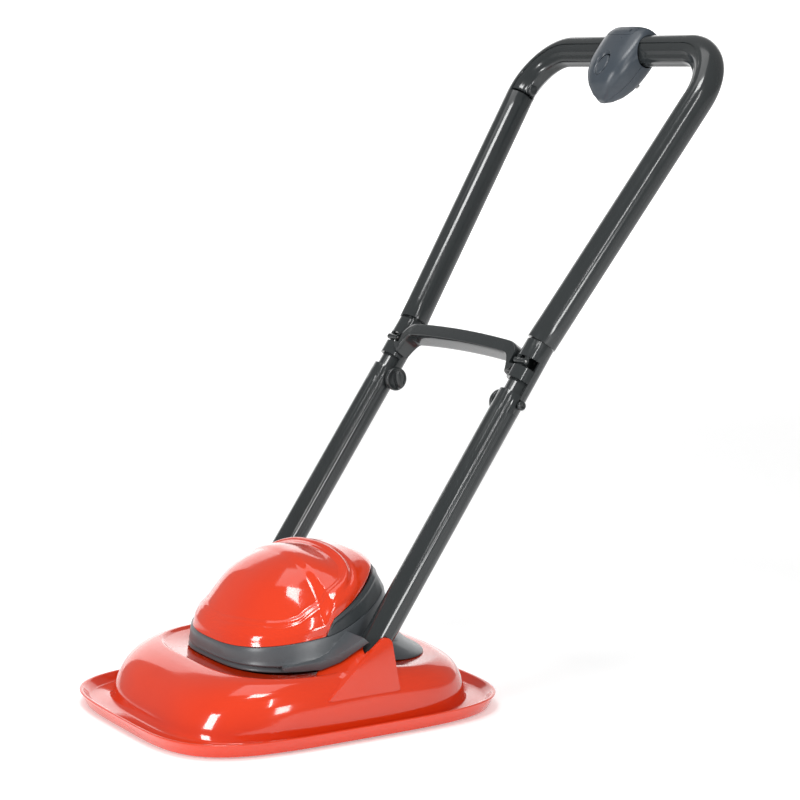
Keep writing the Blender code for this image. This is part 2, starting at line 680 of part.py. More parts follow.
def make_cross_handle(body):
    """Arched carrying bar whose legs end in half collars on the two tubes."""
    sections = []
    steps = 16
    for j in range(steps + 1):
        u = -1 + 2 * j / steps
        x = u * 97.6
        bow = 3.0 * (1 - u * u)
        leg = max(0.0, (abs(x) - 79) / 18.6)
        along = 263.5 + bow - 19.0 * leg ** 2.4
        front = 3.0 + 2.0 * (1 - u * u)
        deep, thick = 10.0 - 1.6 * leg, 6.6
        tilt = math.copysign(math.radians(52) * leg, x)
        axis = Vector((math.cos(tilt), 0, 0)) - LOWER_DIR * math.sin(tilt)
        across = Vector((math.sin(tilt), 0, 0)) + LOWER_DIR * math.cos(tilt)
        centre = lower_point(1, along, front, 0)
        centre.x = x
        ring = []
        for k in range(12):
            a = math.tau * (k + 0.5) / 12
            c, s = math.cos(a), math.sin(a)
            c = math.copysign(abs(c) ** 0.5, c)
            s = math.copysign(abs(s) ** 0.5, s)
            lower_side = 0.2 * (1 - c) if s < 0 else 0.0
            ring.append(centre + LOWER_FRONT * deep * c + across * thick * s * (1 + lower_side))
        sections.append(ring)
    bar = mesh_object("cross_handle", *bridge(sections), "charcoal", body, angle=40)
    corners = ((COLLAR_T - 20, 0.2), (COLLAR_T - 20, -30), (290, -30), (290, 30),
               (CORE_END_T + GAP, 30), (CORE_END_T + GAP, 0.2))
    for side in (-1, 1):
        clear = [lower_point(side, t, n, 94.6 - TUBE_X) for t, n in corners]
        cut_shape(bar, *prism(clear, (0, 0, 0), (side * 30, 0, 0)), body)
        add_shape(bar, *half_ring(side, COLLAR_T, CORE_END_T, TUBE_R, CORE_R + GAP, True), body)
        knuckle = lower_point(side, HINGE_T, HINGE_N)
        add_shape(bar, *rod(knuckle - X_AXIS * 3.3, knuckle + X_AXIS * 3.3, 2.9), body)
        web = [lower_point(side, HINGE_T + t, HINGE_N + n, -3.3 * side)
               for t, n in ((-7, 0.8), (-7, -0.4), (-0.5, -2.4), (1.5, 0))]
        add_shape(bar, *prism(web, (0, 0, 0), (6.6, 0, 0)), body)
        cut_shape(bar, *rod(knuckle - X_AXIS * 12, knuckle + X_AXIS * 12, 1.5, 12), body)
        bore = lower_point(side, COLLAR_T - 8)
        cut_shape(bar, *turned_solid([(CORE_R + GAP, 0), (CORE_R + GAP, 45)], bore, LOWER_DIR, X_AXIS, 20),
                  body)
    return bar


def make_clamps(hand, side, body, knob_body):
    bolt = lower_point(side, BOLT_T, BOLT_N)
    head = 125.0
    profile = [(3.6, 0), (4.3, 0.7), (4.3, 3.1), (2.5, 3.2), (2.5, 40)]
    start = (side * head, bolt.y, bolt.z)
    screw = mesh_object(f"clamp_bolt_{hand}",
                        *turned_solid(profile, start, X_AXIS * -side, LOWER_DIR, 18), "charcoal", body)
    knob_x = side * 94.6
    profile = [(2.8, 0), (6.5, 0), (6.5, 2.4), (10.9, 2.6), (11.4, 3.4), (11.4, 6.2), (10.4, 7.4),
               (2.8, 7.4)]
    knob = mesh_object(f"clamp_knob_{hand}",
                       *turned_ring(profile, (knob_x, bolt.y, bolt.z), X_AXIS * -side, LOWER_DIR, 20),
                       "charcoal", knob_body)
    wing_dir = (LOWER_DIR * 0.7 + LOWER_FRONT * 0.7).normalized()
    wing_side = X_AXIS.cross(wing_dir)
    centre = Vector((knob_x - side * 6.8, bolt.y, bolt.z))
    outline = [centre + wing_dir * a + wing_side * b for a, b in
               ((-9.4, -2), (-9.4, 2), (-4, 3.2), (4, 3.2), (9.4, 2), (9.4, -2), (4, -3.2), (-4, -3.2))]
    add_shape(knob, *prism(outline, (0, 0, 0), (-side * 6.0, 0, 0)), knob_body)
    cut_shape(knob, *rod((side * 96, bolt.y, bolt.z), (side * 84, bolt.y, bolt.z), 2.8, 18), knob_body)
    return screw


def make_hinge_pin(hand, side, body):
    centre = lower_point(side, HINGE_T, HINGE_N)
    mesh_object(f"hinge_pin_{hand}", *rod(centre - X_AXIS * 8, centre + X_AXIS * 8, 1.2, 12),
                "steel", body)


# ---------------------------------------------------------------- upper handle

UPPER_DIR = Vector((0, math.sin(UPPER_LEAN), math.cos(UPPER_LEAN)))
UPPER_FRONT = Vector((0, -math.cos(UPPER_LEAN), math.sin(UPPER_LEAN)))


def upper_point(x, s, front=0.0):
    """Point in the plane of the upper handle, s along it from its lower end."""
    base = lower_point(1, UPPER_T)
    return Vector((x, base.y, base.z)) + UPPER_DIR * s + UPPER_FRONT * front


def upper_path():
    """Centre line of the U-shaped handle from the left end to the right end."""
    slope = math.atan2(BAR_HALF - TUBE_X, BAR_S)
    turn = math.pi / 2 + slope
    setback = BEND_R * math.tan(turn / 2)
    corner = Vector((BAR_HALF, BAR_S))
    leg_dir = Vector((math.sin(slope), math.cos(slope)))
    bend_start = corner - leg_dir * setback
    centre = Vector((corner.x - setback, BAR_S - BEND_R))
    points = [Vector((TUBE_X, 0.2)), Vector((TUBE_X, 0.2)).lerp(bend_start, 0.5)]
    steps = 7
    for j in range(steps + 1):
        angle = -slope + turn * j / steps
        points.append(centre + Vector((math.cos(angle), math.sin(angle))) * BEND_R)
    half = [upper_point(p.x, p.y) for p in points]
    return half + [Vector((0, half[-1].y, half[-1].z))] + [Vector((-p.x, p.y, p.z)) for p in half[::-1]]


def sweep_frames(path):
    """At each point: the inward direction in the handle's plane, and the spread at a bend."""
    frames = []
    for i, point in enumerate(path):
        before = (point - path[max(i - 1, 0)]).normalized() if i else None
        after = (path[min(i + 1, len(path) - 1)] - point).normalized() if i < len(path) - 1 else None
        direction = ((before or after) + (after or before)).normalized()
        inward = UPPER_FRONT.cross(direction).normalized()
        frames.append((point, inward))
    return frames


def sweep(path, profile):
    """Sweep (inward, front) points along the handle's path."""
    rings = []
    for point, inward in sweep_frames(path):
        rings.append([point + inward * a + UPPER_FRONT * b for a, b in profile])
    return rings


def circle(radius, steps=16):
    return [(radius * math.cos(math.tau * j / steps), radius * math.sin(math.tau * j / steps))
            for j in range(steps)]


def half_circle(radius, edge, steps=7):
    """Arc on the inward side, whose ends lie on the seam line."""
    low = math.acos(edge / radius)
    return [(radius * math.cos(-low + 2 * low * j / steps), radius * math.sin(-low + 2 * low * j / steps))
            for j in range(steps + 1)]


def make_upper_tube(body):
    path = upper_path()
    grip = path[2:-2]
    outer = sweep(path, circle(UPPER_R))
    inner = sweep(path, circle(UPPER_BORE_R))
    rings = outer + inner[::-1]
    tube = mesh_object("upper_tube", *bridge(rings, wrap_rings=True), "charcoal", body)
    slot = [(1.0, -16.5), (18, -16.5), (18, 16.5), (1.0, 16.5)]
    cut_shape(tube, *bridge(sweep(grip, slot)), body)
    deep = [(a * 1.27 - 0.4, b * 0.97) for a, b in half_circle(13.8, 1.4)]
    profile = deep + half_circle(11.0, 1.4)[::-1]
    insert = sweep(grip, profile)
    shrink = GAP + 0.1
    for ring, toward in ((insert[0], insert[1]), (insert[-1], insert[-2])):
        step = (toward[0] - ring[0]).normalized() * shrink
        for point in ring:
            point += step
    mesh_object("grip_insert", *bridge(insert), "charcoal", body, angle=40)
    return tube


def make_sleeve(hand, side, body):
    """Hinge sleeve: ring and spigot above the hinge, tongue behind the lower tube."""
    ring = turned_ring([(CORE_R + 0.4, SLEEVE_T), (TUBE_R, SLEEVE_T), (TUBE_R, UPPER_T - GAP - 1.4),
                        (7.6, UPPER_T - GAP - 1.4), (7.6, UPPER_T - 5), (CORE_R + 0.4, UPPER_T - 5)],
                       lower_point(side, 0), LOWER_DIR, X_AXIS, 18)
    sleeve = mesh_object(f"hinge_sleeve_{hand}", *ring, "charcoal", body)
    tongue = half_ring(side, TONGUE_T + GAP, SLEEVE_T + 1, TUBE_R, CORE_R + 0.4, False)
    add_shape(sleeve, *tongue, body)
    end = upper_point(side * TUBE_X, 0)
    slope = Vector((side * (BAR_HALF - TUBE_X) / BAR_S, 0, 0))
    direction = (UPPER_DIR + slope).normalized()
    add_shape(sleeve, *pipe(end - direction * 4, end + direction * 15, UPPER_BORE_R - 0.5, 7.6, 16), body)
    knuckle = lower_point(side, HINGE_T, HINGE_N)
    for way in (-1, 1):
        near, far = knuckle + X_AXIS * way * 3.7, knuckle + X_AXIS * way * 8
        add_shape(sleeve, *rod(near, far, 2.9), body)
        web = [lower_point(side, HINGE_T + t, HINGE_N + n) + X_AXIS * way * 3.7
               for t, n in ((7, 0.8), (7, -0.4), (0.5, -2.4), (-1.5, 0))]
        add_shape(sleeve, *prism(web, (0, 0, 0), (way * 4.3, 0, 0)), body)
    cut_shape(sleeve, *rod(knuckle - X_AXIS * 12, knuckle + X_AXIS * 12, 1.5, 12), body)
    bolt = lower_point(side, BOLT_T, BOLT_N)
    cut_shape(sleeve, *rod((side * 90, bolt.y, bolt.z), (side * 127, bolt.y, bolt.z), 3.6, 16), body)
    slot = [lower_point(side, BOLT_T + t, n, -18) for t, n in ((-3.6, BOLT_N), (-3.6, 3), (5.4, 3),
                                                              (3.6, BOLT_N))]
    cut_shape(sleeve, *prism(slot, (0, 0, 0), (side * 36, 0, 0)), body)
    return sleeve


# Sections of the control box: down the handle, half-width, front, back.
BOX_SECTIONS = ((-19, 25, 11, -11), (-17, 29.5, 16, -13), (-9, 31.5, 20, -17), (8, 32, 22, -18.5),
                (24, 30, 23, -17.5), (37, 26, 21.5, -15.5), (48, 19, 17, -12), (56, 11, 10, -7),
                (59.5, 5, 4, -3))
BOX_END = 59.5


def box_rings(inset, steps=20):
    rings = []
    for down, half, front, back in BOX_SECTIONS:
        down = min(max(down, inset - 19), BOX_END - inset * 1.5)
        middle, deep = (front + back) / 2, (front - back) / 2
        ring = []
        for j in range(steps):
            angle = math.tau * (j + 0.5) / steps
            c, s = math.cos(angle), math.sin(angle)
            x = (half - inset) * math.copysign(abs(c) ** 0.62, c)
            n = middle + (deep - inset) * math.copysign(abs(s) ** 0.62, s)
            ring.append(upper_point(x, BAR_S - down, n))
        rings.append(ring)
    return rings


def make_control_box(body):
    """Two half shells clamped round the grip, with a lid and a button."""
    for label, sign in (("front", 1), ("back", -1)):
        shell = mesh_object(f"control_box_{label}", *bridge(box_rings(0)), "slate", body)
        cut_shape(shell, *bridge(box_rings(2.6)[1:-1]), body)
        cut_shape(shell, *grip_room(40), body)
        keep = half_space(sign)
        boolean(shell, cutter(shell.name + "_half", *keep, body), "INTERSECT")
        if sign > 0:
            cut_shape(shell, *button_shape(7.6, 11.6, 10, 30), body)
        else:
            for x in (-15, 15):
                low, high = upper_point(x, BAR_S - 30, -20), upper_point(x, BAR_S - 30, -2)
                cut_shape(shell, *rod(low, high, 1.6), body)


def grip_room(half_width, steps=20):
    """Room through the control box for the grip and, on its lower side, the deeper insert."""
    rings = []
    for x in (-half_width, half_width):
        ring = []
        for a, b in circle(UPPER_R + GAP, steps):
            ring.append(upper_point(x, BAR_S - max(a, 1.25 * a), b))
        rings.append(ring)
    return bridge(rings)


def half_space(sign):
    near, far = sign * GAP / 2, sign * 40
    corners = [(-40, BAR_S - 70), (40, BAR_S - 70), (40, BAR_S + 40), (-40, BAR_S + 40)]
    first = [upper_point(x, s, near) for x, s in corners]
    last = [upper_point(x, s, far) for x, s in corners]
    return bridge([first, last])


def button_shape(half_across, half_along, low, high, steps=20):
    """Oval prism square to the box's face."""
    rings = []
    for front in (low, high):
        rings.append([upper_point(half_across * math.cos(a), BAR_S - 30 + half_along * math.sin(a), front)
                      for a in (math.tau * j / steps for j in range(steps))])
    return bridge(rings)


def make_button(button_body, upper_body):
    mesh_object("start_button", *button_shape(7.2, 11.2, 15.6, 22.4), "slate", button_body)
    spring_low, spring_high = upper_point(0, BAR_S - 30, 3.0), upper_point(0, BAR_S - 30, 15.2)
    mesh_object("button_spring", *pipe(spring_low, spring_high, 3.2, 2.2, 14), "steel", upper_body)


def make_box_screws(body):
    for hand, side in (("left", 1), ("right", -1)):
        start = upper_point(side * 15, BAR_S - 30, -15.2)
        profile = [(2.6, -3), (2.6, -1.2), (1.3, -1.0), (1.3, 3)]
        mesh_object(f"box_screw_{hand}", *turned_solid(profile, start, UPPER_FRONT, X_AXIS, 12),
                    "steel", body)


# ---------------------------------------------------------------- assembly

def main():
    clear_scene()
    pivot = pivot_point(1)
    hinge = lower_point(1, HINGE_T, HINGE_N)
    bolt = lower_point(1, BOLT_T, BOLT_N)
    click_y, click_z = clicker_centre()
    button = upper_point(0, BAR_S - 30, 20)
    front_axle = make_body("front_axle_body", (0, FRONT_AXLE_Y, WHEEL_R))
    rear_axle = make_body("rear_axle_body", (0, REAR_AXLE_Y, WHEEL_R))
    clicker = make_body("clicker_body", (0, click_y, click_z))
    lower = make_body("lower_frame_body", (0, pivot.y, pivot.z))
    upper = make_body("upper_handle_body", (0, hinge.y, hinge.z))
    button_body = make_body("start_button_body", button)

    make_hood()
    make_surround()
    make_cover()
    make_rear_panel()
    make_base_plate()
    make_base_screws()
    make_axle_saddles()
    make_pivot_pins()
    make_axle("front", FRONT_AXLE_Y, front_axle)
    make_axle("rear", REAR_AXLE_Y, rear_axle)
    make_drive(rear_axle, clicker)
    make_clicker_case()
    make_cross_handle(lower)
    for hand, side in (("left", 1), ("right", -1)):
        knob = make_body(f"clamp_knob_{hand}_body", (side * 94.6, bolt.y, bolt.z))
        make_lower_tube(hand, side, lower)
        make_clamps(hand, side, lower, knob)
        make_hinge_pin(hand, side, lower)
        make_sleeve(hand, side, upper)
    make_upper_tube(upper)
    make_control_box(upper)
    make_button(button_body, upper)
    make_box_screws(upper)


main()
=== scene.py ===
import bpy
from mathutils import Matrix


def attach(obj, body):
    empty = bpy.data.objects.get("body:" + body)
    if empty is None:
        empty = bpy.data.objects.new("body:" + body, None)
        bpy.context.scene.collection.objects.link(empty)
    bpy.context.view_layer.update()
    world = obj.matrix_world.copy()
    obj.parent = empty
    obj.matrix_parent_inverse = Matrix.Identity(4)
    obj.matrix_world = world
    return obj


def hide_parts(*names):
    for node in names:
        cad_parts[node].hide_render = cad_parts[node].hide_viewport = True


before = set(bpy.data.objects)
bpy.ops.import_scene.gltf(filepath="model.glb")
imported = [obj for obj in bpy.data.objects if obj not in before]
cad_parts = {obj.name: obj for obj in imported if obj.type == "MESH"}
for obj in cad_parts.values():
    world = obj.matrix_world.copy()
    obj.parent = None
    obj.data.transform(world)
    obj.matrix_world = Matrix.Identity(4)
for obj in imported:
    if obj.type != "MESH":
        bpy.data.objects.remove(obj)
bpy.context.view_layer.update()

import math

import bmesh
import bpy
from mathutils import Vector

# Lengths are millimetres unless a name says otherwise; -Y is the mower's front.
MM = 0.001
GAP = 0.3
CENTRING = Vector((0, -3.34, 0))

DECK_Y = -113.5
RIM_HALF_LENGTH = 171.5
RIM_HALF_WIDTH = 145.5
RIM_BOTTOM_Z = 2.0
RIM_TOP_Z = 14.6
TRAY_Z = 7.5
SHELF_Z = 53.4                 # top of the dome behind the motor
RIM_POWER = 4.1
DOME_POWER = 3.3
SURROUND_Y = -89.0
HOUSING_Y = -117.0
CROWN_SHIFT = 25.0
HOUSING_TOP_Z = 147.5
SEAM_Z = 72.0
SEAM_FRONT_Y = -192.0
ARM_INNER_X = 84.0
FLANGE_Z = 53.8
TUBE_INNER_X = 94.4

TUBE_X = 108.2
TUBE_BASE = (TUBE_X, -67.2, 101.2)
TUBE_R = 13.2
CORE_R = 10.2
BORE_R = 7.8
LOWER_LEAN = math.radians(34.7)
UPPER_LEAN = math.radians(34.4)
UPPER_R = 14.2
UPPER_BORE_R = 11.3
PIVOT_T = -41.6
TONGUE_T = 206.0
BOLT_T = 216.6
BOLT_N = -4.0
FULL_TUBE_T = 224.0
COLLAR_T = 236.4
CORE_END_T = 249.0
HINGE_T = 254.0
HINGE_N = 10.2
SLEEVE_T = 258.8
UPPER_T = 277.8
BAR_HALF = 148.6
BAR_S = 318.9
BEND_R = 50.0
PIN_R = 3.0
WHEEL_R = 14.0
WHEEL_X = 86.0
FRONT_AXLE_Y = -190.0
REAR_AXLE_Y = -22.0
POST_X = 62.0
POSTS = (("front", -211.0), ("rear", -9.0))

X_AXIS = Vector((1, 0, 0))
Z_AXIS = Vector((0, 0, 1))
LOWER_DIR = Vector((0, math.sin(LOWER_LEAN), math.cos(LOWER_LEAN)))
LOWER_FRONT = Vector((0, -math.cos(LOWER_LEAN), math.sin(LOWER_LEAN)))
UPPER_DIR = Vector((0, math.sin(UPPER_LEAN), math.cos(UPPER_LEAN)))
UPPER_FRONT = Vector((0, -math.cos(UPPER_LEAN), math.sin(UPPER_LEAN)))

HOOD_STEPS = 200
FINE = 56                      # points round a turned piece


# ---------------------------------------------------------------- materials

def node(tree, kind, **values):
    made = tree.nodes.new(kind)
    for key, value in values.items():
        if key in made.inputs:
            made.inputs[key].default_value = value
        else:
            setattr(made, key, value)
    return made


def noise_node(tree, coords, scale, detail=2.0, stretch=None):
    texture = node(tree, "ShaderNodeTexNoise", Scale=scale, Detail=detail)
    if stretch:
        mapping = node(tree, "ShaderNodeMapping")
        mapping.inputs["Scale"].default_value = stretch
        tree.links.new(coords, mapping.inputs["Vector"])
        coords = mapping.outputs["Vector"]
    tree.links.new(coords, texture.inputs["Vector"])
    return texture.outputs["Fac"]


def remap(tree, value, low, high, from_low=0.3, from_high=0.7):
    ranged = node(tree, "ShaderNodeMapRange")
    for key, number in (("From Min", from_low), ("From Max", from_high), ("To Min", low), ("To Max", high)):
        ranged.inputs[key].default_value = number
    tree.links.new(value, ranged.inputs["Value"])
    return ranged.outputs["Result"]


def tinted(tree, factor, first, second):
    mix = node(tree, "ShaderNodeMix", data_type="RGBA")
    mix.inputs[6].default_value = (*first, 1)
    mix.inputs[7].default_value = (*second, 1)
    tree.links.new(factor, mix.inputs[0])
    return mix.outputs[2]


def moulded(name, colour, shade, roughness, spread, coat=0.0, peel=0.05, grain=0.0, grain_scale=2600,
            metallic=0.0, level=0.5, brushed=None):
    """Moulded plastic or plated steel: clouding in the colour, a wavy skin, fine grain and faint rubs."""
    material = bpy.data.materials.new(name)
    material.use_nodes = True
    tree = material.node_tree
    shader = tree.nodes["Principled BSDF"]
    shader.inputs["Metallic"].default_value = metallic
    shader.inputs["Coat Weight"].default_value = coat
    shader.inputs["Coat Roughness"].default_value = 0.03
    shader.inputs["Specular IOR Level"].default_value = level
    coords = node(tree, "ShaderNodeTexCoord").outputs["Object"]
    cloud = remap(tree, noise_node(tree, coords, 14, 3), 0, 1)
    tree.links.new(tinted(tree, cloud, colour, shade), shader.inputs["Base Color"])
    rubs = noise_node(tree, coords, 90, 6, brushed or (1, 1, 0.35))
    tree.links.new(remap(tree, rubs, roughness, roughness + spread), shader.inputs["Roughness"])
    skin = noise_node(tree, coords, 170, 1)
    first = node(tree, "ShaderNodeBump", Strength=peel, Distance=0.0006)
    tree.links.new(skin, first.inputs["Height"])
    last = first
    if grain:
        last = node(tree, "ShaderNodeBump", Strength=grain, Distance=0.00012)
        tree.links.new(noise_node(tree, coords, grain_scale, 2, brushed), last.inputs["Height"])
        tree.links.new(first.outputs["Normal"], last.inputs["Normal"])
    tree.links.new(last.outputs["Normal"], shader.inputs["Normal"])
    return material


FINISHES = {
    "orange": ("orange_plastic", moulded(
        "orange_gloss", (0.69, 0.040, 0.007), (0.65, 0.035, 0.006), 0.09, 0.05, coat=0.35, peel=0.03)),
    "charcoal": ("charcoal_plastic", moulded(
        "charcoal_gloss", (0.024, 0.0275, 0.0285), (0.020, 0.0235, 0.0245), 0.13, 0.06, coat=0.2,
        peel=0.035)),
    "slate": ("slate_plastic", moulded(
        "slate_satin", (0.046, 0.058, 0.072), (0.040, 0.051, 0.064), 0.27, 0.07, peel=0.03, grain=0.16)),
    "grey": ("grey_plastic", moulded(
        "grey_satin", (0.075, 0.083, 0.090), (0.067, 0.075, 0.082), 0.30, 0.08, peel=0.03, grain=0.20)),
    "band": ("black_plastic", moulded(
        "dark_satin", (0.045, 0.052, 0.056), (0.038, 0.045, 0.048), 0.33, 0.08, peel=0.03, grain=0.22)),
    "black": ("black_plastic", moulded(
        "black_matt", (0.020, 0.021, 0.022), (0.015, 0.016, 0.017), 0.46, 0.12, peel=0.05, grain=0.5)),
    "white": ("nylon", moulded(
        "natural_nylon", (0.70, 0.68, 0.62), (0.64, 0.62, 0.56), 0.40, 0.10, peel=0.05, grain=0.3)),
    "steel": ("steel", moulded(
        "plated_steel", (0.58, 0.58, 0.57), (0.50, 0.50, 0.49), 0.24, 0.12, peel=0.02, grain=0.35,
        grain_scale=1500, metallic=1.0, brushed=(1, 1, 14))),
}


# ---------------------------------------------------------------- making pieces

def make_piece(name, verts, faces, finish, body, stands_for=(), angle=35):
    """One visual piece from millimetre points in the mower's frame, riding on a body."""
    mesh = bpy.data.meshes.new(name)
    mesh.from_pydata([(Vector(v) + CENTRING) * MM for v in verts], [], faces)
    work = bmesh.new()
    work.from_mesh(mesh)
    bmesh.ops.remove_doubles(work, verts=work.verts, dist=1e-6)
    bmesh.ops.recalc_face_normals(work, faces=work.faces)
    if work.calc_volume(signed=True) < 0:
        bmesh.ops.reverse_faces(work, faces=work.faces)
    work.to_mesh(mesh)
    work.free()
    obj = bpy.data.objects.new(name, mesh)
    bpy.context.scene.collection.objects.link(obj)
    if finish:
        slot, material = FINISHES[finish]
        mesh.materials.append(material)
        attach(obj, body)
        if stands_for:
            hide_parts(*stands_for)
    mesh.shade_smooth()
    mesh.set_sharp_from_angle(angle=math.radians(angle))
    return obj


def settle(obj, angle=35):
    """Bake the modifiers into the mesh and drop their helper objects."""
    helpers = [m.object for m in obj.modifiers if getattr(m, "object", None)]
    depsgraph = bpy.context.evaluated_depsgraph_get()
    mesh = bpy.data.meshes.new_from_object(obj.evaluated_get(depsgraph))
    obj.modifiers.clear()
    obj.data = mesh
    for helper in helpers:
        bpy.data.objects.remove(helper, do_unlink=True)
    mesh.shade_smooth()
    mesh.set_sharp_from_angle(angle=math.radians(angle))
    return obj


def boolean(obj, shape, operation):
    helper = make_piece(obj.name + "_helper", *shape, None, None)
    modifier = obj.modifiers.new(operation.lower(), "BOOLEAN")
    modifier.operation = operation
    modifier.object = helper
    modifier.solver = "EXACT"


def add_shape(obj, *shape):
    boolean(obj, shape, "UNION")


def cut_shape(obj, *shape):
    boolean(obj, shape, "DIFFERENCE")


def keep_shape(obj, *shape):
    boolean(obj, shape, "INTERSECT")


def soften(obj, width, angle=40, segments=2):
    """Round the hard edges of a settled piece."""
    bevel = obj.modifiers.new("edges", "BEVEL")
    bevel.width = width * MM
    bevel.segments = segments
    bevel.limit_method = "ANGLE"
    bevel.angle_limit = math.radians(angle)
    bevel.use_clamp_overlap = True
    return settle(obj, 50)


def displace(obj, offset):
    """Move each point along its normal by offset(point) millimetres."""
    mesh = obj.data
    normals = [v.normal.copy() for v in mesh.vertices]
    for vertex, normal in zip(mesh.vertices, normals):
        vertex.co += normal * (offset(vertex.co / MM - CENTRING, normal) * MM)
    mesh.update()


def smoothstep(value, low, high):
    share = min(max((value - low) / (high - low), 0.0), 1.0)
    return share * share * (3 - 2 * share)


def hump(value, centre, width):
    return math.exp(-((value - centre) / width) ** 2)


# ---------------------------------------------------------------- shapes

def bridge(rings, wrap_rings=False, cap=True):
    count = len(rings[0])
    verts = [p for ring in rings for p in ring]
    faces = []
    last = len(rings) if wrap_rings else len(rings) - 1
    for i in range(last):
        a, b = i * count, (i + 1) % len(rings) * count
        for j in range(count):
            k = (j + 1) % count
            faces.append((a + j, a + k, b + k, b + j))
    if cap and not wrap_rings:
        faces.append(tuple(range(count))[::-1])
        faces.append(tuple((len(rings) - 1) * count + j for j in range(count)))
    return verts, faces


def between(a, b, c, d, t):
    """Smooth curve from b to c; a and d are their outer neighbours."""
    return 0.5 * ((2 * b) + (c - a) * t + (2 * a - 5 * b + 4 * c - d) * t * t
                  + (3 * b - a - 3 * c + d) * t ** 3)


def refine(rings, parts):
    """Extra rings on a smooth curve through the given ones."""
    fine = []
    for i in range(len(rings) - 1):
        near = rings[max(i - 1, 0)], rings[i], rings[i + 1], rings[min(i + 2, len(rings) - 1)]
        for k in range(parts):
            fine.append([between(*points, k / parts) for points in zip(*near)])
    return fine + [rings[-1]]


def frame_of(direction, reference):
    axis = Vector(direction).normalized()
    first = (Vector(reference) - axis * axis.dot(Vector(reference))).normalized()
    return first, axis.cross(first)


def turned(profile, start, direction, reference=(0, 0, 1), steps=FINE):
    first, second = frame_of(direction, reference)
    axis = Vector(direction).normalized()
    rings = []
    for radius, height in profile:
        centre = Vector(start) + axis * height
        rings.append([centre + (first * math.cos(a) + second * math.sin(a)) * max(radius, 0.0)
                      for a in (math.tau * j / steps for j in range(steps))])
    return rings


def turned_solid(profile, start, direction, reference=(0, 0, 1), steps=FINE):
    return bridge(turned(profile, start, direction, reference, steps))


def turned_ring(profile, start, direction, reference=(0, 0, 1), steps=FINE):
    return bridge(turned(profile, start, direction, reference, steps), wrap_rings=True)


def rod(start, end, radius, steps=32):
    start, end = Vector(start), Vector(end)
    reference = Z_AXIS if abs((end - start).normalized().z) < 0.9 else X_AXIS
    return turned_solid([(radius, 0), (radius, (end - start).length)], start, end - start, reference, steps)


def pipe(start, end, outer, inner, steps=FINE):
    start, end = Vector(start), Vector(end)
    reference = Z_AXIS if abs((end - start).normalized().z) < 0.9 else X_AXIS
    length = (end - start).length
    profile = [(outer, 0), (outer, length), (inner, length), (inner, 0)]
    return turned_ring(profile, start, end - start, reference, steps)


def block(low, high):
    xs, ys, zs = zip(low, high)
    verts = [(x, y, z) for z in zs for y in ys for x in xs]
    return verts, [(0, 2, 3, 1), (4, 5, 7, 6), (0, 1, 5, 4), (2, 6, 7, 3), (0, 4, 6, 2), (1, 3, 7, 5)]


def prism(outline, shift):
    near = [Vector(p) for p in outline]
    return bridge([near, [p + Vector(shift) for p in near]])


def oval_ring(centre_y, front, rear, half_width, height, power, taper=0.0, steps=HOOD_STEPS,
              rear_power=None):
    """Squared oval in plan; height is a number or a function of y."""
    points = []
    for j in range(steps):
        angle = math.tau * (j + 0.5) / steps
        c, s = math.cos(angle), math.sin(angle)
        square = 2 / (rear_power if rear_power and s > 0 else power)
        x = half_width * math.copysign(abs(c) ** square, c)
        y = (rear if s > 0 else front) * math.copysign(abs(s) ** square, s)
        if y < 0:
            x *= 1 + taper * y / front
        y += centre_y
        points.append(Vector((x, y, height(y) if callable(height) else height)))
    return points


# ---------------------------------------------------------------- deck

def rim_ring(inset, z):
    return oval_ring(DECK_Y, RIM_HALF_LENGTH - inset, RIM_HALF_LENGTH - inset, RIM_HALF_WIDTH - inset, z,
                     RIM_POWER)


def deck_rise(y):
    """The deck's top rises a little towards the handle and falls away behind it."""
    return 2.0 * smoothstep(y, -150, -105) - 4.5 * smoothstep(y, -100, -10)


def dome_ring(front, rear, half_width, z, shelf=SHELF_Z):
    """Ring of the dome; behind the motor nothing stands above the shelf."""
    def height(y):
        level = z - max(0.0, z - shelf) * smoothstep(y, -88, -52)
        return level + deck_rise(y) * min(max((z - 20) / 30, 0), 1)
    return oval_ring(DECK_Y, front, rear, half_width, height, DOME_POWER, 0.03)


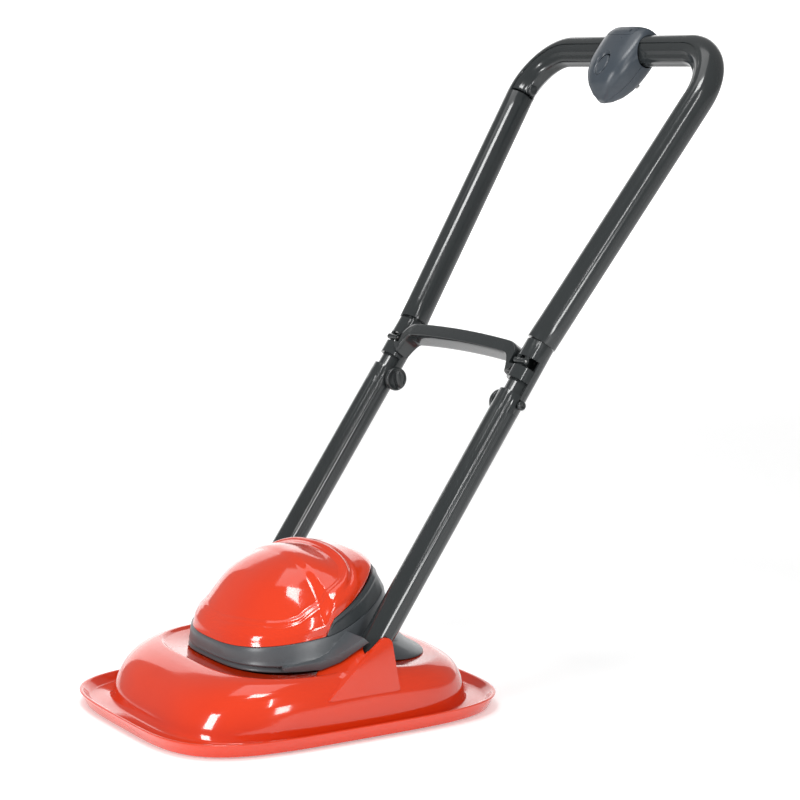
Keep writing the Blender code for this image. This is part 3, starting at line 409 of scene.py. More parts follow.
def hood_rings():
    """Section through the hood, from the rim's outer foot round to its inner foot."""
    lip = [rim_ring(6, RIM_BOTTOM_Z), rim_ring(5.3, RIM_BOTTOM_Z + 0.7), rim_ring(1.1, RIM_TOP_Z - 2.4),
           rim_ring(0.4, RIM_TOP_Z - 1.4), rim_ring(0.2, RIM_TOP_Z - 0.6), rim_ring(0.6, RIM_TOP_Z - 0.1),
           rim_ring(1.3, RIM_TOP_Z), rim_ring(2.4, RIM_TOP_Z - 0.05), rim_ring(3.1, RIM_TOP_Z - 0.5),
           rim_ring(3.6, RIM_TOP_Z - 1.3), rim_ring(7.3, TRAY_Z + 1.4), rim_ring(8.2, TRAY_Z + 0.4),
           rim_ring(9.8, TRAY_Z)]
    flank = [dome_ring(151, 151.5, 135.6, TRAY_Z), dome_ring(148.6, 149.1, 134.4, TRAY_Z + 1.2),
             dome_ring(146.7, 148, 134.0, TRAY_Z + 5), dome_ring(143.5, 146.5, 133.6, 22),
             dome_ring(135.5, 141.5, 132.2, 36), dome_ring(125, 134.5, 128.5, 46),
             dome_ring(112.5, 123.5, 122.5, 52.6), dome_ring(103, 113, 117.5, 55.4),
             dome_ring(99.5, 109.5, 115, 55.8)]
    well = [dome_ring(98.1, 108.2, 113.8, 55.3), dome_ring(96.8, 107, 112.4, 53.9),
            dome_ring(94.8, 105, 110.4, 53.3), dome_ring(76.5, 91.5, 92, 52.4)]
    under = SHELF_Z - 2.6
    inside = [dome_ring(75.5, 89.5, 90, 49.8, under), dome_ring(87, 96.5, 104.6, 50.8, under),
              dome_ring(98, 107.5, 112.6, 52.2, under), dome_ring(111, 121.5, 120.2, 50.2, under),
              dome_ring(123, 132, 126, 44, under), dome_ring(133.3, 139.2, 129.8, 34.6, under),
              dome_ring(141.2, 144.1, 131.2, 21, under),
              dome_ring(145.6, 146.1, 131.8, TRAY_Z - 2.4, under), rim_ring(10, TRAY_Z - 2.4),
              rim_ring(8.6, RIM_BOTTOM_Z)]
    return lip + refine(flank, 5) + well + inside


def ear_outline(side, x):
    """Flat pivot ear, seen from the side, at the given |x|."""
    apex_y, apex_z, radius = -84.5, 77.0, 7.0
    arc = [(side * x, apex_y + radius * math.cos(a), apex_z + radius * math.sin(a))
           for a in (math.radians(5 + 137 * j / 14) for j in range(15))]
    return arc + [(side * x, -146.0, 38.0), (side * x, -74.0, 38.0)]


def lower_point(side, along, front=0.0, outward=0.0):
    """Point on a lower tube: along its axis, to its front and to its outer side."""
    base = Vector((side * TUBE_BASE[0], TUBE_BASE[1], TUBE_BASE[2]))
    return base + LOWER_DIR * along + LOWER_FRONT * front + X_AXIS * side * outward


def pivot_point(side):
    return lower_point(side, PIVOT_T)


# Front edge of an ear and, above it, the edge that runs below a side arm: y, z, |x|, z.
WEB_STATIONS = ((-137, 45.0, 98, 55.5), (-119.6, 58.4, 104.5, 62.9), (-105.8, 69.1, 110, 75.2),
                (-100.4, 73.3, 110, 79.2))
# Side view of the room round the tube's lower end and below the tilted tube.
POCKET = ((-107, 44), (-107, 62), (-105.2, 66), (-102.6, 74.5), (-95.5, 84.8), (-60, 84.8),
          (-69, 57.8), (-77, 55.9), (-77, 44))


def pylon_web(side):
    """Sloping wall between an ear's front edge and the side arm."""
    rings = []
    for y, ear_z, arm_x, arm_z in WEB_STATIONS:
        ring = []
        for x, top, drop in ((arm_x, arm_z, 0), (123, ear_z, 0), (123, ear_z, ear_z - 40),
                             (arm_x, arm_z, arm_z - 40)):
            ring.append(Vector((side * x, y - 0.633 * drop, top - drop)))
        rings.append(ring)
    return bridge(rings)


def make_hood():
    hood = make_piece("hood_shell", *bridge(hood_rings(), wrap_rings=True), "orange", "deck", ["hood"], 50)
    for side in (-1, 1):
        ear = ear_outline(side, 121.9)
        outer = [(side * (132.6 - 7.0 * smoothstep(p[2], 38, 84)), p[1], p[2]) for p in ear]
        add_shape(hood, *bridge([[Vector(p) for p in ear], [Vector(p) for p in outer]]))
        add_shape(hood, *pylon_web(side))
        for (_, y), top in zip(POSTS, (52.5, 49.5)):
            add_shape(hood, *rod((side * POST_X, y, 9.2), (side * POST_X, y, top), 4, 24))
    for side in (-1, 1):
        pocket = [(side * 88.4, y, z) for y, z in POCKET]
        cut_shape(hood, *prism(pocket, (side * 33.2, 0, 0)))
        pin = pivot_point(side)
        cut_shape(hood, *rod((side * 88, pin.y, pin.z), (side * 124.6, pin.y, pin.z), PIN_R + GAP))
    settle(hood)
    return soften(hood, 0.5, 42)


def ledge_z(y):
    """Height of the collar's top edge, which climbs towards the back."""
    straight = SEAM_Z + 0.156 * (y - SEAM_FRONT_Y)
    climb = 0.034 * max(0.0, y + 122) ** 1.5
    return min(straight + climb, 112 + 0.06 * (y + 58))


def cover_edge_z(y):
    """Height of the cover's lower edge: along the collar, then a step up and steadily back."""
    back = min(96 + 0.58 * (y + 120), 129.5 + 0.1 * (y + 62))
    return ledge_z(y) + (back - ledge_z(y)) * smoothstep(y, -125, -116)


def housing_ring(level, height, grow=0.0, steps=360):
    size = math.cos(level * math.pi / 2)
    centre = HOUSING_Y + CROWN_SHIFT * level
    return oval_ring(centre, (75 - grow) * size, (72 - grow) * size, (91 - grow) * size,
                     height, 2.7 - 0.4 * level, 0.12, steps, 2.1)


def cover_rings(foot_z, grow, top_z, levels):
    rings = []
    for level in levels:
        rise = math.sin(level * math.pi / 2) ** 1.15
        rings.append(housing_ring(level, lambda y: foot_z(y) + (top_z - foot_z(y)) * rise, grow))
    return rings


def bubble_distance(point):
    """Millimetres outside (or, below zero, inside) the raised window of the cover, seen in plan."""
    across, along = abs(point.x) / BUBBLE_HALF_WIDTH, (point.y - BUBBLE_Y) / BUBBLE_HALF_LENGTH
    power = 2.05 + 2.6 * smoothstep(along, -0.3, 0.5)
    reach = (across ** power + abs(along) ** power) ** (1 / power)
    radius = math.hypot(point.x, point.y - BUBBLE_Y) / max(reach, 1e-6)
    return (reach - 1) * radius


BUBBLE_Y = -136.0
BUBBLE_HALF_WIDTH = 78.0
BUBBLE_HALF_LENGTH = 49.0


def cover_relief(point, normal):
    """Sunken window, its crease, the lip behind it and the rounded shoulder round it."""
    away = bubble_distance(point)
    rear = smoothstep(point.y, -112, -92)
    low = smoothstep(point.z - cover_edge_z(point.y), 2, 10)
    crease = -1.15 * hump(away, 0, 1.5)
    window = -2.4 * smoothstep(-away, 0, 3.0) * (1 - smoothstep(-away, 6, 34))
    lip = (1.5 * hump(away, 4.2, 2.6) - 0.9 * hump(away, 8.6, 2.0)) * rear
    shoulder = 1.5 * hump(away, 11.0, 6.5) * (1 - 0.6 * rear)
    return (crease + window + lip + shoulder) * low


def make_cover():
    def foot(y):
        return cover_edge_z(y) + GAP + 0.1

    levels = [0.94 * j / 150 for j in range(151)] + [0.955, 0.97, 0.982, 0.992]
    outside = cover_rings(foot, 0, HOUSING_TOP_Z, levels)
    lip = cover_rings(foot, 2.4, HOUSING_TOP_Z - 2.4, (0.0, 0.06))
    cover = make_piece("cover_skin", *bridge(lip[::-1] + outside), "orange", "deck", ["motor_cover"], 60)
    displace(cover, cover_relief)
    return cover


def make_rear_panel():
    """Dark band behind the cover, with a narrow ledge below the cover's edge."""
    rows = 24
    rings = []
    for i in range(rows + 1):
        share = i / rows

        def height(y):
            low = ledge_z(y) + 2 * GAP
            return low + max(cover_edge_z(y) - 0.4 - low, 0.4) * share
        step = 0.9 * hump(share, 0.78, 0.08)
        rings.append(oval_ring(HOUSING_Y, 75, 83 - 8 * share + step, 91.6 - 0.6 * share + step, height, 2.8,
                               0.12, 360, 2.5 - 0.3 * share))
    keep = [j for j, p in enumerate(rings[0]) if cover_edge_z(p.y) - ledge_z(p.y) > 1.5]
    first = 360 * 3 // 4
    keep = [j for j in keep if j > first] + [j for j in keep if j <= first]
    grid = [[ring[j] for j in keep] for ring in rings]
    verts, faces = [p for row in grid for p in row], []
    for i in range(rows):
        for j in range(len(keep) - 1):
            a = i * len(keep) + j
            faces.append((a, a + 1, a + len(keep) + 1, a + len(keep)))
    panel = make_piece("rear_band", verts, faces, "band", "deck", ["cover_rear_panel"])
    thick = panel.modifiers.new("wall", "SOLIDIFY")
    thick.thickness = 2.0 * MM
    thick.offset = -1
    return settle(panel)


def side_recess(ring, inset):
    """Pull the outline in beside the lower tubes."""
    for point in ring:
        share = smoothstep(point.y, -127, -107)
        limit = 106 - (106 - TUBE_INNER_X) * share - inset
        if abs(point.x) > limit:
            point.x = math.copysign(limit, point.x)
    return ring


ARM_STATIONS = ((-165, 58.6, 88, 1.6, (0.0, 1.0)), (-136, 60.6, 101, 3.6, (-0.2, 0.98)),
                (-122, 66.5, 108, 3.6, (-0.6, 0.8)), (-101.8, 83.6, 121.4, 3.4, (-0.72, 0.69)))


def arm_shape(side, grow=0.0, inner_x=ARM_INNER_X):
    """Tick-shaped strip on each side of the collar; grow narrows it and stands it further out."""
    rings = []
    for y, z, outer_x, half, (across_y, across_z) in ARM_STATIONS:
        corners = []
        for x, way in ((inner_x, -1), (outer_x + grow, -1), (outer_x + grow, 1), (inner_x, 1)):
            reach = way * (half - 1.6 * grow)
            corners.append(Vector((side * x, y + reach * across_y, z + reach * across_z)))
        rings.append(corners)
    return bridge(rings)


def make_surround():
    def foot(rise):
        return lambda y: FLANGE_Z + deck_rise(y) + rise

    def flange(inset, rise, recess):
        ring = oval_ring(SURROUND_Y, 104 - inset * 0.4, 88 - inset * 1.6, 97 - inset * 0.6, foot(rise),
                         3.4, 0.12)
        return side_recess(ring, recess)

    def collar(inset, height, recess, flare=0.0):
        ring = oval_ring(HOUSING_Y, 75 - inset, 84 - inset + flare, 92 - inset + 0.2 * flare, height, 2.9,
                         0.12, rear_power=2.5)
        return side_recess(ring, recess)

    def mid(share, drop=0.0):
        return lambda y: foot(0)(y) + (ledge_z(y) - foot(0)(y)) * share - drop

    wall = [flange(4, 3.6, 0.4), collar(-1.2, mid(0.25), 1.3, 14), collar(-0.8, mid(0.42), 1.4, 9),
            collar(-0.4, mid(0.8), 1.4, 2), collar(0.1, mid(1, 1.2), 1.4)]
    outside = [flange(0, 0, 0), flange(0.1, 1.0, 0.1), flange(0.8, 1.8, 0.2)] + refine(wall, 6)
    outside += [collar(0.4, mid(1, 0.3), 1.6), collar(0.9, ledge_z, 2.0)]
    inside = [collar(2.6, ledge_z, 3.8), collar(2.0, mid(0.4), 3.7, 9), flange(8.4, 2.4, 3.6),
              flange(6, 0, 3.0)]
    surround = make_piece("collar_shell", *bridge(outside + inside, wrap_rings=True), "grey", "deck",
                          ["motor_surround"], 40)
    for side in (-1, 1):
        add_shape(surround, *arm_shape(side))
        cheek = [(side * 94.1, y, z) for y, z in ((-105, 50), (-105, 75), (-99, 79.5), (-86, 79.5),
                                                  (-78.4, 73), (-78.4, 50))]
        add_shape(surround, *prism(cheek, (side * -5.2, 0, 0)))
        pin = pivot_point(side)
        cut_shape(surround, *rod((side * 88, pin.y, pin.z), (side * 97, pin.y, pin.z), PIN_R + GAP))
    settle(surround)
    return soften(surround, 0.7, 30, 3)


def make_base_plate():
    """Underside plate with a rounded edge and a ring of vents."""
    outline = oval_ring(DECK_Y, 133, 130, 126, 6.2, DOME_POWER, 0.03, 160)
    inner = oval_ring(DECK_Y, 131.8, 128.8, 124.8, 6.2, DOME_POWER, 0.03, 160)
    rings = [inner, [p + Z_AXIS * 1.2 for p in outline], [p + Z_AXIS * 2.4 for p in outline]]
    plate = make_piece("under_plate", *bridge(rings), "black", "deck", ["base_plate"])
    for y in (FRONT_AXLE_Y, REAR_AXLE_Y):
        for side in (-1, 1):
            centre = Vector((side * WHEEL_X, y, 7.5))
            half = Vector((7, WHEEL_R + 2, 4))
            cut_shape(plate, *block(centre - half, centre + half))
    for _, y in POSTS:
        for side in (-1, 1):
            cut_shape(plate, *rod((side * POST_X, y, 4), (side * POST_X, y, 12), 2, 24))
    cut_shape(plate, *block((-12, REAR_AXLE_Y - 17, 4), (12, REAR_AXLE_Y + 16, 11)))
    for j in range(VENT_COUNT):
        angle = math.tau * (j + 0.5) / VENT_COUNT
        out = Vector((math.cos(angle), math.sin(angle), 0))
        wide = Vector((-out.y, out.x, 0)) * 1.6
        near, far = (Vector((0, DECK_Y + 9, 6.9)) + out * reach for reach in (26, 44))
        cut_shape(plate, *prism([near - wide, far - wide, far + wide, near + wide], (0, 0, -3)))
    return soften(settle(plate), 0.35, 40)


VENT_COUNT = 24


def screw_piece(name, profile, start, direction, body, stands_for, head_depth):
    """Pan-head screw with a cross recess."""
    screw = make_piece(name, *turned_solid(profile, start, direction, X_AXIS, 32), "steel", body,
                       [stands_for])
    first, second = frame_of(direction, X_AXIS)
    axis = Vector(direction).normalized()
    top = Vector(start) + axis * (profile[0][1] - 0.2)
    for a, b in ((first, second), (second, first)):
        corners = [top + a * (1.5 * u) + b * (0.28 * v) for u, v in ((-1, -1), (1, -1), (1, 1), (-1, 1))]
        cut_shape(screw, *prism(corners, axis * head_depth))
    return soften(settle(screw), 0.15, 50)


def make_base_screws():
    for label, y in POSTS:
        for hand, side in (("left", 1), ("right", -1)):
            profile = [(2.4, 0), (3.0, 0.25), (3.2, 0.8), (3.2, 1.4), (1.5, 1.5), (1.5, 3.2)]
            screw_piece(f"screw_{label}_{hand}", profile, (side * POST_X, y, 4.3), Z_AXIS, "deck",
                        f"base_screw_{label}_{hand}", 0.9)


def make_pivot_pins():
    for hand, side in (("left", 1), ("right", -1)):
        pin = pivot_point(side)
        profile = [(PIN_R - 0.4, 0), (PIN_R, 0.4), (PIN_R, 34.5), (PIN_R - 0.8, 35.3)]
        make_piece(f"tilt_pin_{hand}", *turned_solid(profile, (side * 88.8, pin.y, pin.z), X_AXIS * side),
                   "steel", "deck", [f"pivot_pin_{hand}"])


def make_wheels():
    """Hidden rollers with ribbed treads and a dished face."""
    for label, y in (("front", FRONT_AXLE_Y), ("rear", REAR_AXLE_Y)):
        for hand, side in (("left", 1), ("right", -1)):
            tread = [(WHEEL_R - (0.5 if j % 2 else 0.0), -4.2 + 8.4 * j / 12) for j in range(13)]
            profile = [(2.3, -6), (4.6, -6), (5, -5.6), (5, -3.5), (11.6, -3.5), (11.6, -5), (13.4, -5)]
            profile += tread + [(13.4, 5), (11.6, 5), (11.6, 2), (2.3, 2)]
            make_piece(f"roller_{label}_{hand}",
                       *turned_ring(profile, (side * WHEEL_X, y, WHEEL_R), X_AXIS * side),
                       "black", f"{label}_axle", [f"{label}_wheel_{hand}"], 30)


# ---------------------------------------------------------------- lower frame

def half_ring(side, start, end, outer, inner, front, trim=GAP / 2, steps=26):
    """Half of a ring round a lower tube, on its front or its rear side."""
    sign = 1 if front else -1
    low = math.asin(trim / outer), math.asin(trim / inner)
    points = []
    for radius, first, back in ((outer, low[0], False), (inner, low[1], True)):
        angles = [first + (math.pi - 2 * first) * j / steps for j in range(steps + 1)]
        for angle in (angles[::-1] if back else angles):
            points.append((radius * math.cos(angle), sign * radius * math.sin(angle)))
    return bridge([[lower_point(side, along, n, x) for x, n in points] for along in (start, end)])


def make_lower_tube(hand, side):
    eye = PIVOT_T - TUBE_R
    dome = [(TUBE_R * math.sin(a), eye + TUBE_R * (1 - math.cos(a)))
            for a in (math.radians(4 + 86 * j / 12) for j in range(13))]
    profile = dome + [(TUBE_R, TONGUE_T), (CORE_R, TONGUE_T), (CORE_R, CORE_END_T),
                      (BORE_R, CORE_END_T), (BORE_R, -12), (1, -12)]
    tube = make_piece(f"shaft_{hand}",
                      *turned_solid(profile, lower_point(side, 0), LOWER_DIR, X_AXIS),
                      "charcoal", "lower_frame", [f"lower_tube_{hand}"])
    add_shape(tube, *half_ring(side, TONGUE_T - 2, FULL_TUBE_T, TUBE_R, CORE_R - 0.6, True))
    pin = pivot_point(side)
    cut_shape(tube, *rod((side * 90, pin.y, pin.z), (side * 126, pin.y, pin.z), PIN_R + GAP))
    bolt = lower_point(side, BOLT_T, BOLT_N)
    cut_shape(tube, *rod((side * 90, bolt.y, bolt.z), (side * 126, bolt.y, bolt.z), 2.8))
    for turn in SEAM_LINES:
        seat = [lower_point(side, along, TUBE_R * math.sin(turn), TUBE_R * math.cos(turn))
                for along in (-18, TONGUE_T - 8)]
        cut_shape(tube, *rod(*seat, 0.3, 10))
    return soften(settle(tube), 0.45, 45)


SEAM_LINES = tuple(math.radians(d) for d in (90, 270))   # mould lines along the tubes


def make_cross_handle():
    """Arched carrying bar whose legs end in half collars on the two tubes."""
    sections = []
    steps, points = 72, 64
    for j in range(steps + 1):
        u = -1 + 2 * j / steps
        x = u * 97.6
        bow = 3.0 * (1 - u * u)
        leg = max(0.0, (abs(x) - 79) / 18.6)
        along = 263.5 + bow - 19.0 * leg ** 2.4
        front = 3.0 + 2.0 * (1 - u * u)
        deep, thick = 10.0 - 1.6 * leg, 6.6
        tilt = math.copysign(math.radians(52) * leg, x)
        across = Vector((math.sin(tilt), 0, 0)) + LOWER_DIR * math.cos(tilt)
        centre = lower_point(1, along, front, 0)
        centre.x = x
        ring = []
        for k in range(points):
            a = math.tau * (k + 0.5) / points
            c, s = math.cos(a), math.sin(a)
            c = math.copysign(abs(c) ** 0.34, c)
            s = math.copysign(abs(s) ** 0.34, s)
            bulge = 0.35 * hump(abs(s), 0.86, 0.1) if c > 0.9 else 0.0
            lower_side = 0.2 * (1 - c) if s < 0 else 0.0
            ring.append(centre + LOWER_FRONT * (deep * c + bulge) + across * thick * s * (1 + lower_side))
        sections.append(ring)
    bar = make_piece("carry_bar", *bridge(sections), "charcoal", "lower_frame", ["cross_handle"], 45)
    corners = ((COLLAR_T - 20, 0.2), (COLLAR_T - 20, -30), (290, -30), (290, 30),
               (CORE_END_T + GAP, 30), (CORE_END_T + GAP, 0.2))
    for side in (-1, 1):
        clear = [lower_point(side, t, n, 94.6 - TUBE_X) for t, n in corners]
        cut_shape(bar, *prism(clear, (side * 30, 0, 0)))
        add_shape(bar, *half_ring(side, COLLAR_T, CORE_END_T, TUBE_R, CORE_R + GAP, True))
        knuckle = lower_point(side, HINGE_T, HINGE_N)
        add_shape(bar, *rod(knuckle - X_AXIS * 3.3, knuckle + X_AXIS * 3.3, 2.9))
        web = [lower_point(side, HINGE_T + t, HINGE_N + n, -3.3 * side)
               for t, n in ((-7, 0.8), (-7, -0.4), (-0.5, -2.4), (1.5, 0))]
        add_shape(bar, *prism(web, (6.6, 0, 0)))
        cut_shape(bar, *rod(knuckle - X_AXIS * 12, knuckle + X_AXIS * 12, 1.5, 24))
        bore = lower_point(side, COLLAR_T - 8)
        cut_shape(bar, *turned_solid([(CORE_R + GAP, 0), (CORE_R + GAP, 45)], bore, LOWER_DIR, X_AXIS))
    settle(bar)
    return soften(bar, 0.4, 50)


def make_clamps(hand, side):
    bolt = lower_point(side, BOLT_T, BOLT_N)
    profile = [(1.2, -0.1), (2.9, 0.0), (3.8, 0.35), (4.2, 1.0), (4.3, 1.8), (4.3, 3.1), (2.5, 3.2),
               (2.5, 40)]
    screw = make_piece(f"bolt_{hand}",
                       *turned_solid(profile, (side * 125.0, bolt.y, bolt.z), X_AXIS * -side, LOWER_DIR),
                       "charcoal", "lower_frame", [f"clamp_bolt_{hand}"])
    socket = (side * 125.4, bolt.y, bolt.z)
    cut_shape(screw, *turned_solid([(2.1, 0), (2.1, 1.5)], socket, X_AXIS * -side, LOWER_DIR, 6))
    soften(settle(screw), 0.15, 50)

    knob_x = side * 94.6
    profile = [(2.8, 0), (6.5, 0), (6.5, 2.4), (10.4, 2.5), (11.1, 2.9), (11.4, 3.6), (11.4, 6.0),
               (11.1, 6.8), (10.5, 7.3), (9.8, 7.4), (9.2, 7.0), (8.8, 6.3), (8.0, 6.1), (2.8, 6.1)]
    knob = make_piece(f"knob_{hand}",
                      *turned_ring(profile, (knob_x, bolt.y, bolt.z), X_AXIS * -side, LOWER_DIR),
                      "charcoal", f"knob_{hand}", [f"clamp_knob_{hand}"])
    wing_dir = (LOWER_DIR * 0.7 + LOWER_FRONT * 0.7).normalized()
    wing_side = X_AXIS.cross(wing_dir)
    centre = Vector((knob_x - side * 5.7, bolt.y, bolt.z))
    rings = []
    for rise, shrink in ((0, 1.0), (4.6, 0.94), (6.2, 0.86), (7.1, 0.7), (7.4, 0.5)):
        rings.append([centre - X_AXIS * side * rise
                      + wing_dir * (9.6 * math.cos(a) * (0.6 + 0.4 * shrink))
                      + wing_side * (math.copysign(abs(math.sin(a)) ** 0.8, math.sin(a)) * 3.3 * shrink)
                      for a in (math.tau * k / 40 for k in range(40))])
    add_shape(knob, *bridge(rings))
    cut_shape(knob, *rod((side * 96, bolt.y, bolt.z), (side * 84, bolt.y, bolt.z), 2.8))
    soften(settle(knob), 0.4, 45)


def make_hinge_pin(hand, side):
    centre = lower_point(side, HINGE_T, HINGE_N)
    ends = centre - X_AXIS * 8, centre + X_AXIS * 8
    pin = make_piece(f"hinge_rod_{hand}", *rod(*ends, 1.2, 24), "steel", "lower_frame",
                     [f"hinge_pin_{hand}"])
    soften(pin, 0.25, 50)


# ---------------------------------------------------------------- upper handle

def upper_point(x, s, front=0.0):
    """Point in the plane of the upper handle, s along it from its lower end."""
    base = lower_point(1, UPPER_T)
    return Vector((x, base.y, base.z)) + UPPER_DIR * s + UPPER_FRONT * front


def upper_path(bend_steps=30, leg_steps=14):
    """Centre line of the U-shaped handle from the left end to the right end."""
    slope = math.atan2(BAR_HALF - TUBE_X, BAR_S)
    turn = math.pi / 2 + slope
    setback = BEND_R * math.tan(turn / 2)
    leg_dir = Vector((math.sin(slope), math.cos(slope)))
    bend_start = Vector((BAR_HALF, BAR_S)) - leg_dir * setback
    centre = Vector((BAR_HALF - setback, BAR_S - BEND_R))
    foot = Vector((TUBE_X, 0.2))
    points = [foot.lerp(bend_start, j / leg_steps) for j in range(leg_steps)]
    for j in range(bend_steps + 1):
        angle = -slope + turn * j / bend_steps
        points.append(centre + Vector((math.cos(angle), math.sin(angle))) * BEND_R)
    half = [upper_point(p.x, p.y) for p in points]
    return half + [Vector((0, half[-1].y, half[-1].z))] + [Vector((-p.x, p.y, p.z)) for p in half[::-1]]


def sweep(path, profile):
    """Sweep (inward, front) points, or a function of the share along, on the handle's path."""
    rings = []
    for i, point in enumerate(path):
        before = path[max(i - 1, 0)]
        after = path[min(i + 1, len(path) - 1)]
        inward = UPPER_FRONT.cross((after - before).normalized()).normalized()
        shape = profile(i / (len(path) - 1)) if callable(profile) else profile
        rings.append([point + inward * a + UPPER_FRONT * b for a, b in shape])
    return rings


def circle(radius, steps=FINE):
    return [(radius * math.cos(math.tau * j / steps), radius * math.sin(math.tau * j / steps))
            for j in range(steps)]


def insert_profile(radius, edge, ridges, steps=60):
    """Arc on the inward side with lengthwise ridges."""
    low = math.acos(edge / radius)
    points = []
    for j in range(steps + 1):
        angle = -low + 2 * low * j / steps
        reach = radius - ridges * (0.5 + 0.5 * math.cos(angle * 8)) * (1 if abs(angle) < 1.2 else 0)
        points.append((reach * math.cos(angle), reach * math.sin(angle)))
    return points


def make_upper_tube():
    path = upper_path()
    grip = path[14:-14]
    tube = make_piece("loop_tube",
                      *bridge(sweep(path, circle(UPPER_R)) + sweep(path, circle(UPPER_BORE_R))[::-1],
                              wrap_rings=True), "charcoal", "upper_handle", ["upper_tube"], 50)
    slot = [(1.0, -16.5), (18, -16.5), (18, 16.5), (1.0, 16.5)]
    cut_shape(tube, *bridge(sweep(grip, slot)))
    soften(settle(tube), 0.5, 45)

    deep = [(a * 1.27 - 0.4, b * 0.97) for a, b in insert_profile(13.8, 1.4, 0.8)]
    profile = deep + insert_profile(11.0, 1.4, 0.0)[::-1]
    insert = make_piece("grip_channel", *bridge(sweep(grip[1:-1], profile)), "charcoal", "upper_handle",
                        ["grip_insert"], 45)
    for side in (-1, 1):
        end = grip[3] if side > 0 else grip[-4]
        toward = (Vector((0, end.y, end.z)) - end).normalized()
        boss = turned_solid([(5.2, 12.5), (5.2, 17.2), (4.6, 18.1), (3.0, 18.5), (1.2, 18.1)], end, toward,
                            UPPER_DIR, 40)
        add_shape(insert, *boss)
    return soften(settle(insert), 0.3, 50)


def make_sleeve(hand, side):
    """Hinge sleeve: ring and spigot above the hinge, tongue behind the lower tube."""
    profile = [(CORE_R + 0.4, SLEEVE_T), (TUBE_R, SLEEVE_T), (TUBE_R, UPPER_T - GAP - 1.4),
               (7.6, UPPER_T - GAP - 1.4), (7.6, UPPER_T - 5), (CORE_R + 0.4, UPPER_T - 5)]
    sleeve = make_piece(f"sleeve_{hand}", *turned_ring(profile, lower_point(side, 0), LOWER_DIR, X_AXIS),
                        "charcoal", "upper_handle", [f"hinge_sleeve_{hand}"])
    add_shape(sleeve, *half_ring(side, TONGUE_T + GAP, SLEEVE_T + 1, TUBE_R, CORE_R + 0.4, False))
    end = upper_point(side * TUBE_X, 0)
    slope = Vector((side * (BAR_HALF - TUBE_X) / BAR_S, 0, 0))
    direction = (UPPER_DIR + slope).normalized()
    add_shape(sleeve, *pipe(end - direction * 4, end + direction * 15, UPPER_BORE_R - 0.5, 7.6))
    knuckle = lower_point(side, HINGE_T, HINGE_N)
    for way in (-1, 1):
        near, far = knuckle + X_AXIS * way * 3.7, knuckle + X_AXIS * way * 8
        add_shape(sleeve, *rod(near, far, 2.9))
        web = [lower_point(side, HINGE_T + t, HINGE_N + n) + X_AXIS * way * 3.7
               for t, n in ((7, 0.8), (7, -0.4), (0.5, -2.4), (-1.5, 0))]
        add_shape(sleeve, *prism(web, (way * 4.3, 0, 0)))
    cut_shape(sleeve, *rod(knuckle - X_AXIS * 12, knuckle + X_AXIS * 12, 1.5, 24))
    bolt = lower_point(side, BOLT_T, BOLT_N)
    cut_shape(sleeve, *rod((side * 90, bolt.y, bolt.z), (side * 127, bolt.y, bolt.z), 3.6))
    slot = [lower_point(side, BOLT_T + t, n, -18) for t, n in ((-3.6, BOLT_N), (-3.6, 3), (5.4, 3),
                                                              (3.6, BOLT_N))]
    cut_shape(sleeve, *prism(slot, (side * 36, 0, 0)))
    return soften(settle(sleeve), 0.35, 45)


# Sections of the control box: down the handle, half-width, front, back.
BOX_SECTIONS = ((-19, 25, 11, -11), (-17, 29.5, 16, -13), (-9, 31.5, 20, -17), (8, 32, 22, -18.5),
                (24, 30, 23, -17.5), (37, 26, 21.5, -15.5), (48, 19, 17, -12), (56, 11, 10, -7),
                (59.5, 5, 4, -3))
BOX_LENGTH = 78.5
BOX_ROUND = 0.62
BUTTON_DOWN = 30


def box_section(down):
    """Half-width, front and back of the control box at a station."""
    last = len(BOX_SECTIONS) - 2
    i = max(j for j in range(last + 1) if BOX_SECTIONS[j][0] <= down or j == 0)
    t = (down - BOX_SECTIONS[i][0]) / (BOX_SECTIONS[i + 1][0] - BOX_SECTIONS[i][0])
    near = [Vector(BOX_SECTIONS[min(max(k, 0), last + 1)][1:]) for k in (i - 1, i, i + 1, i + 2)]
    return between(*near, min(t, 1.0))


def box_front(x, down):
    """Height of the box's front face at a point."""
    half, front, back = box_section(down)
    share = min(abs(x) / half, 1.0) ** (1 / BOX_ROUND)
    return (front + back) / 2 + (front - back) / 2 * math.sqrt(1 - share * share) ** BOX_ROUND


def box_rings(inset, stations=60, steps=112):
    rings = []
    for i in range(stations + 1):
        down = -19 + (BOX_LENGTH - 1.5 * inset) * i / stations
        down = max(down, inset - 19)
        half, front, back = box_section(down)
        ring = []
        for j in range(steps):
            angle = math.tau * (j + 0.5) / steps
            c, s = math.cos(angle), math.sin(angle)
            x = (half - inset) * math.copysign(abs(c) ** BOX_ROUND, c)
            n = (front + back) / 2 + ((front - back) / 2 - inset) * math.copysign(abs(s) ** BOX_ROUND, s)
            ring.append(upper_point(x, BAR_S - down, n))
        rings.append(ring)
    return rings


def grip_room(half_width):
    """Room through the control box for the grip and, on its lower side, the deeper insert."""
    return bridge([[upper_point(x, BAR_S - max(a, 1.25 * a), b) for a, b in circle(UPPER_R + GAP)]
                   for x in (-half_width, half_width)])


def half_space(sign):
    near, far = sign * GAP / 2, sign * 40
    corners = [(-40, BAR_S - 70), (40, BAR_S - 70), (40, BAR_S + 40), (-40, BAR_S + 40)]
    return bridge([[upper_point(x, s, front) for x, s in corners] for front in (near, far)])


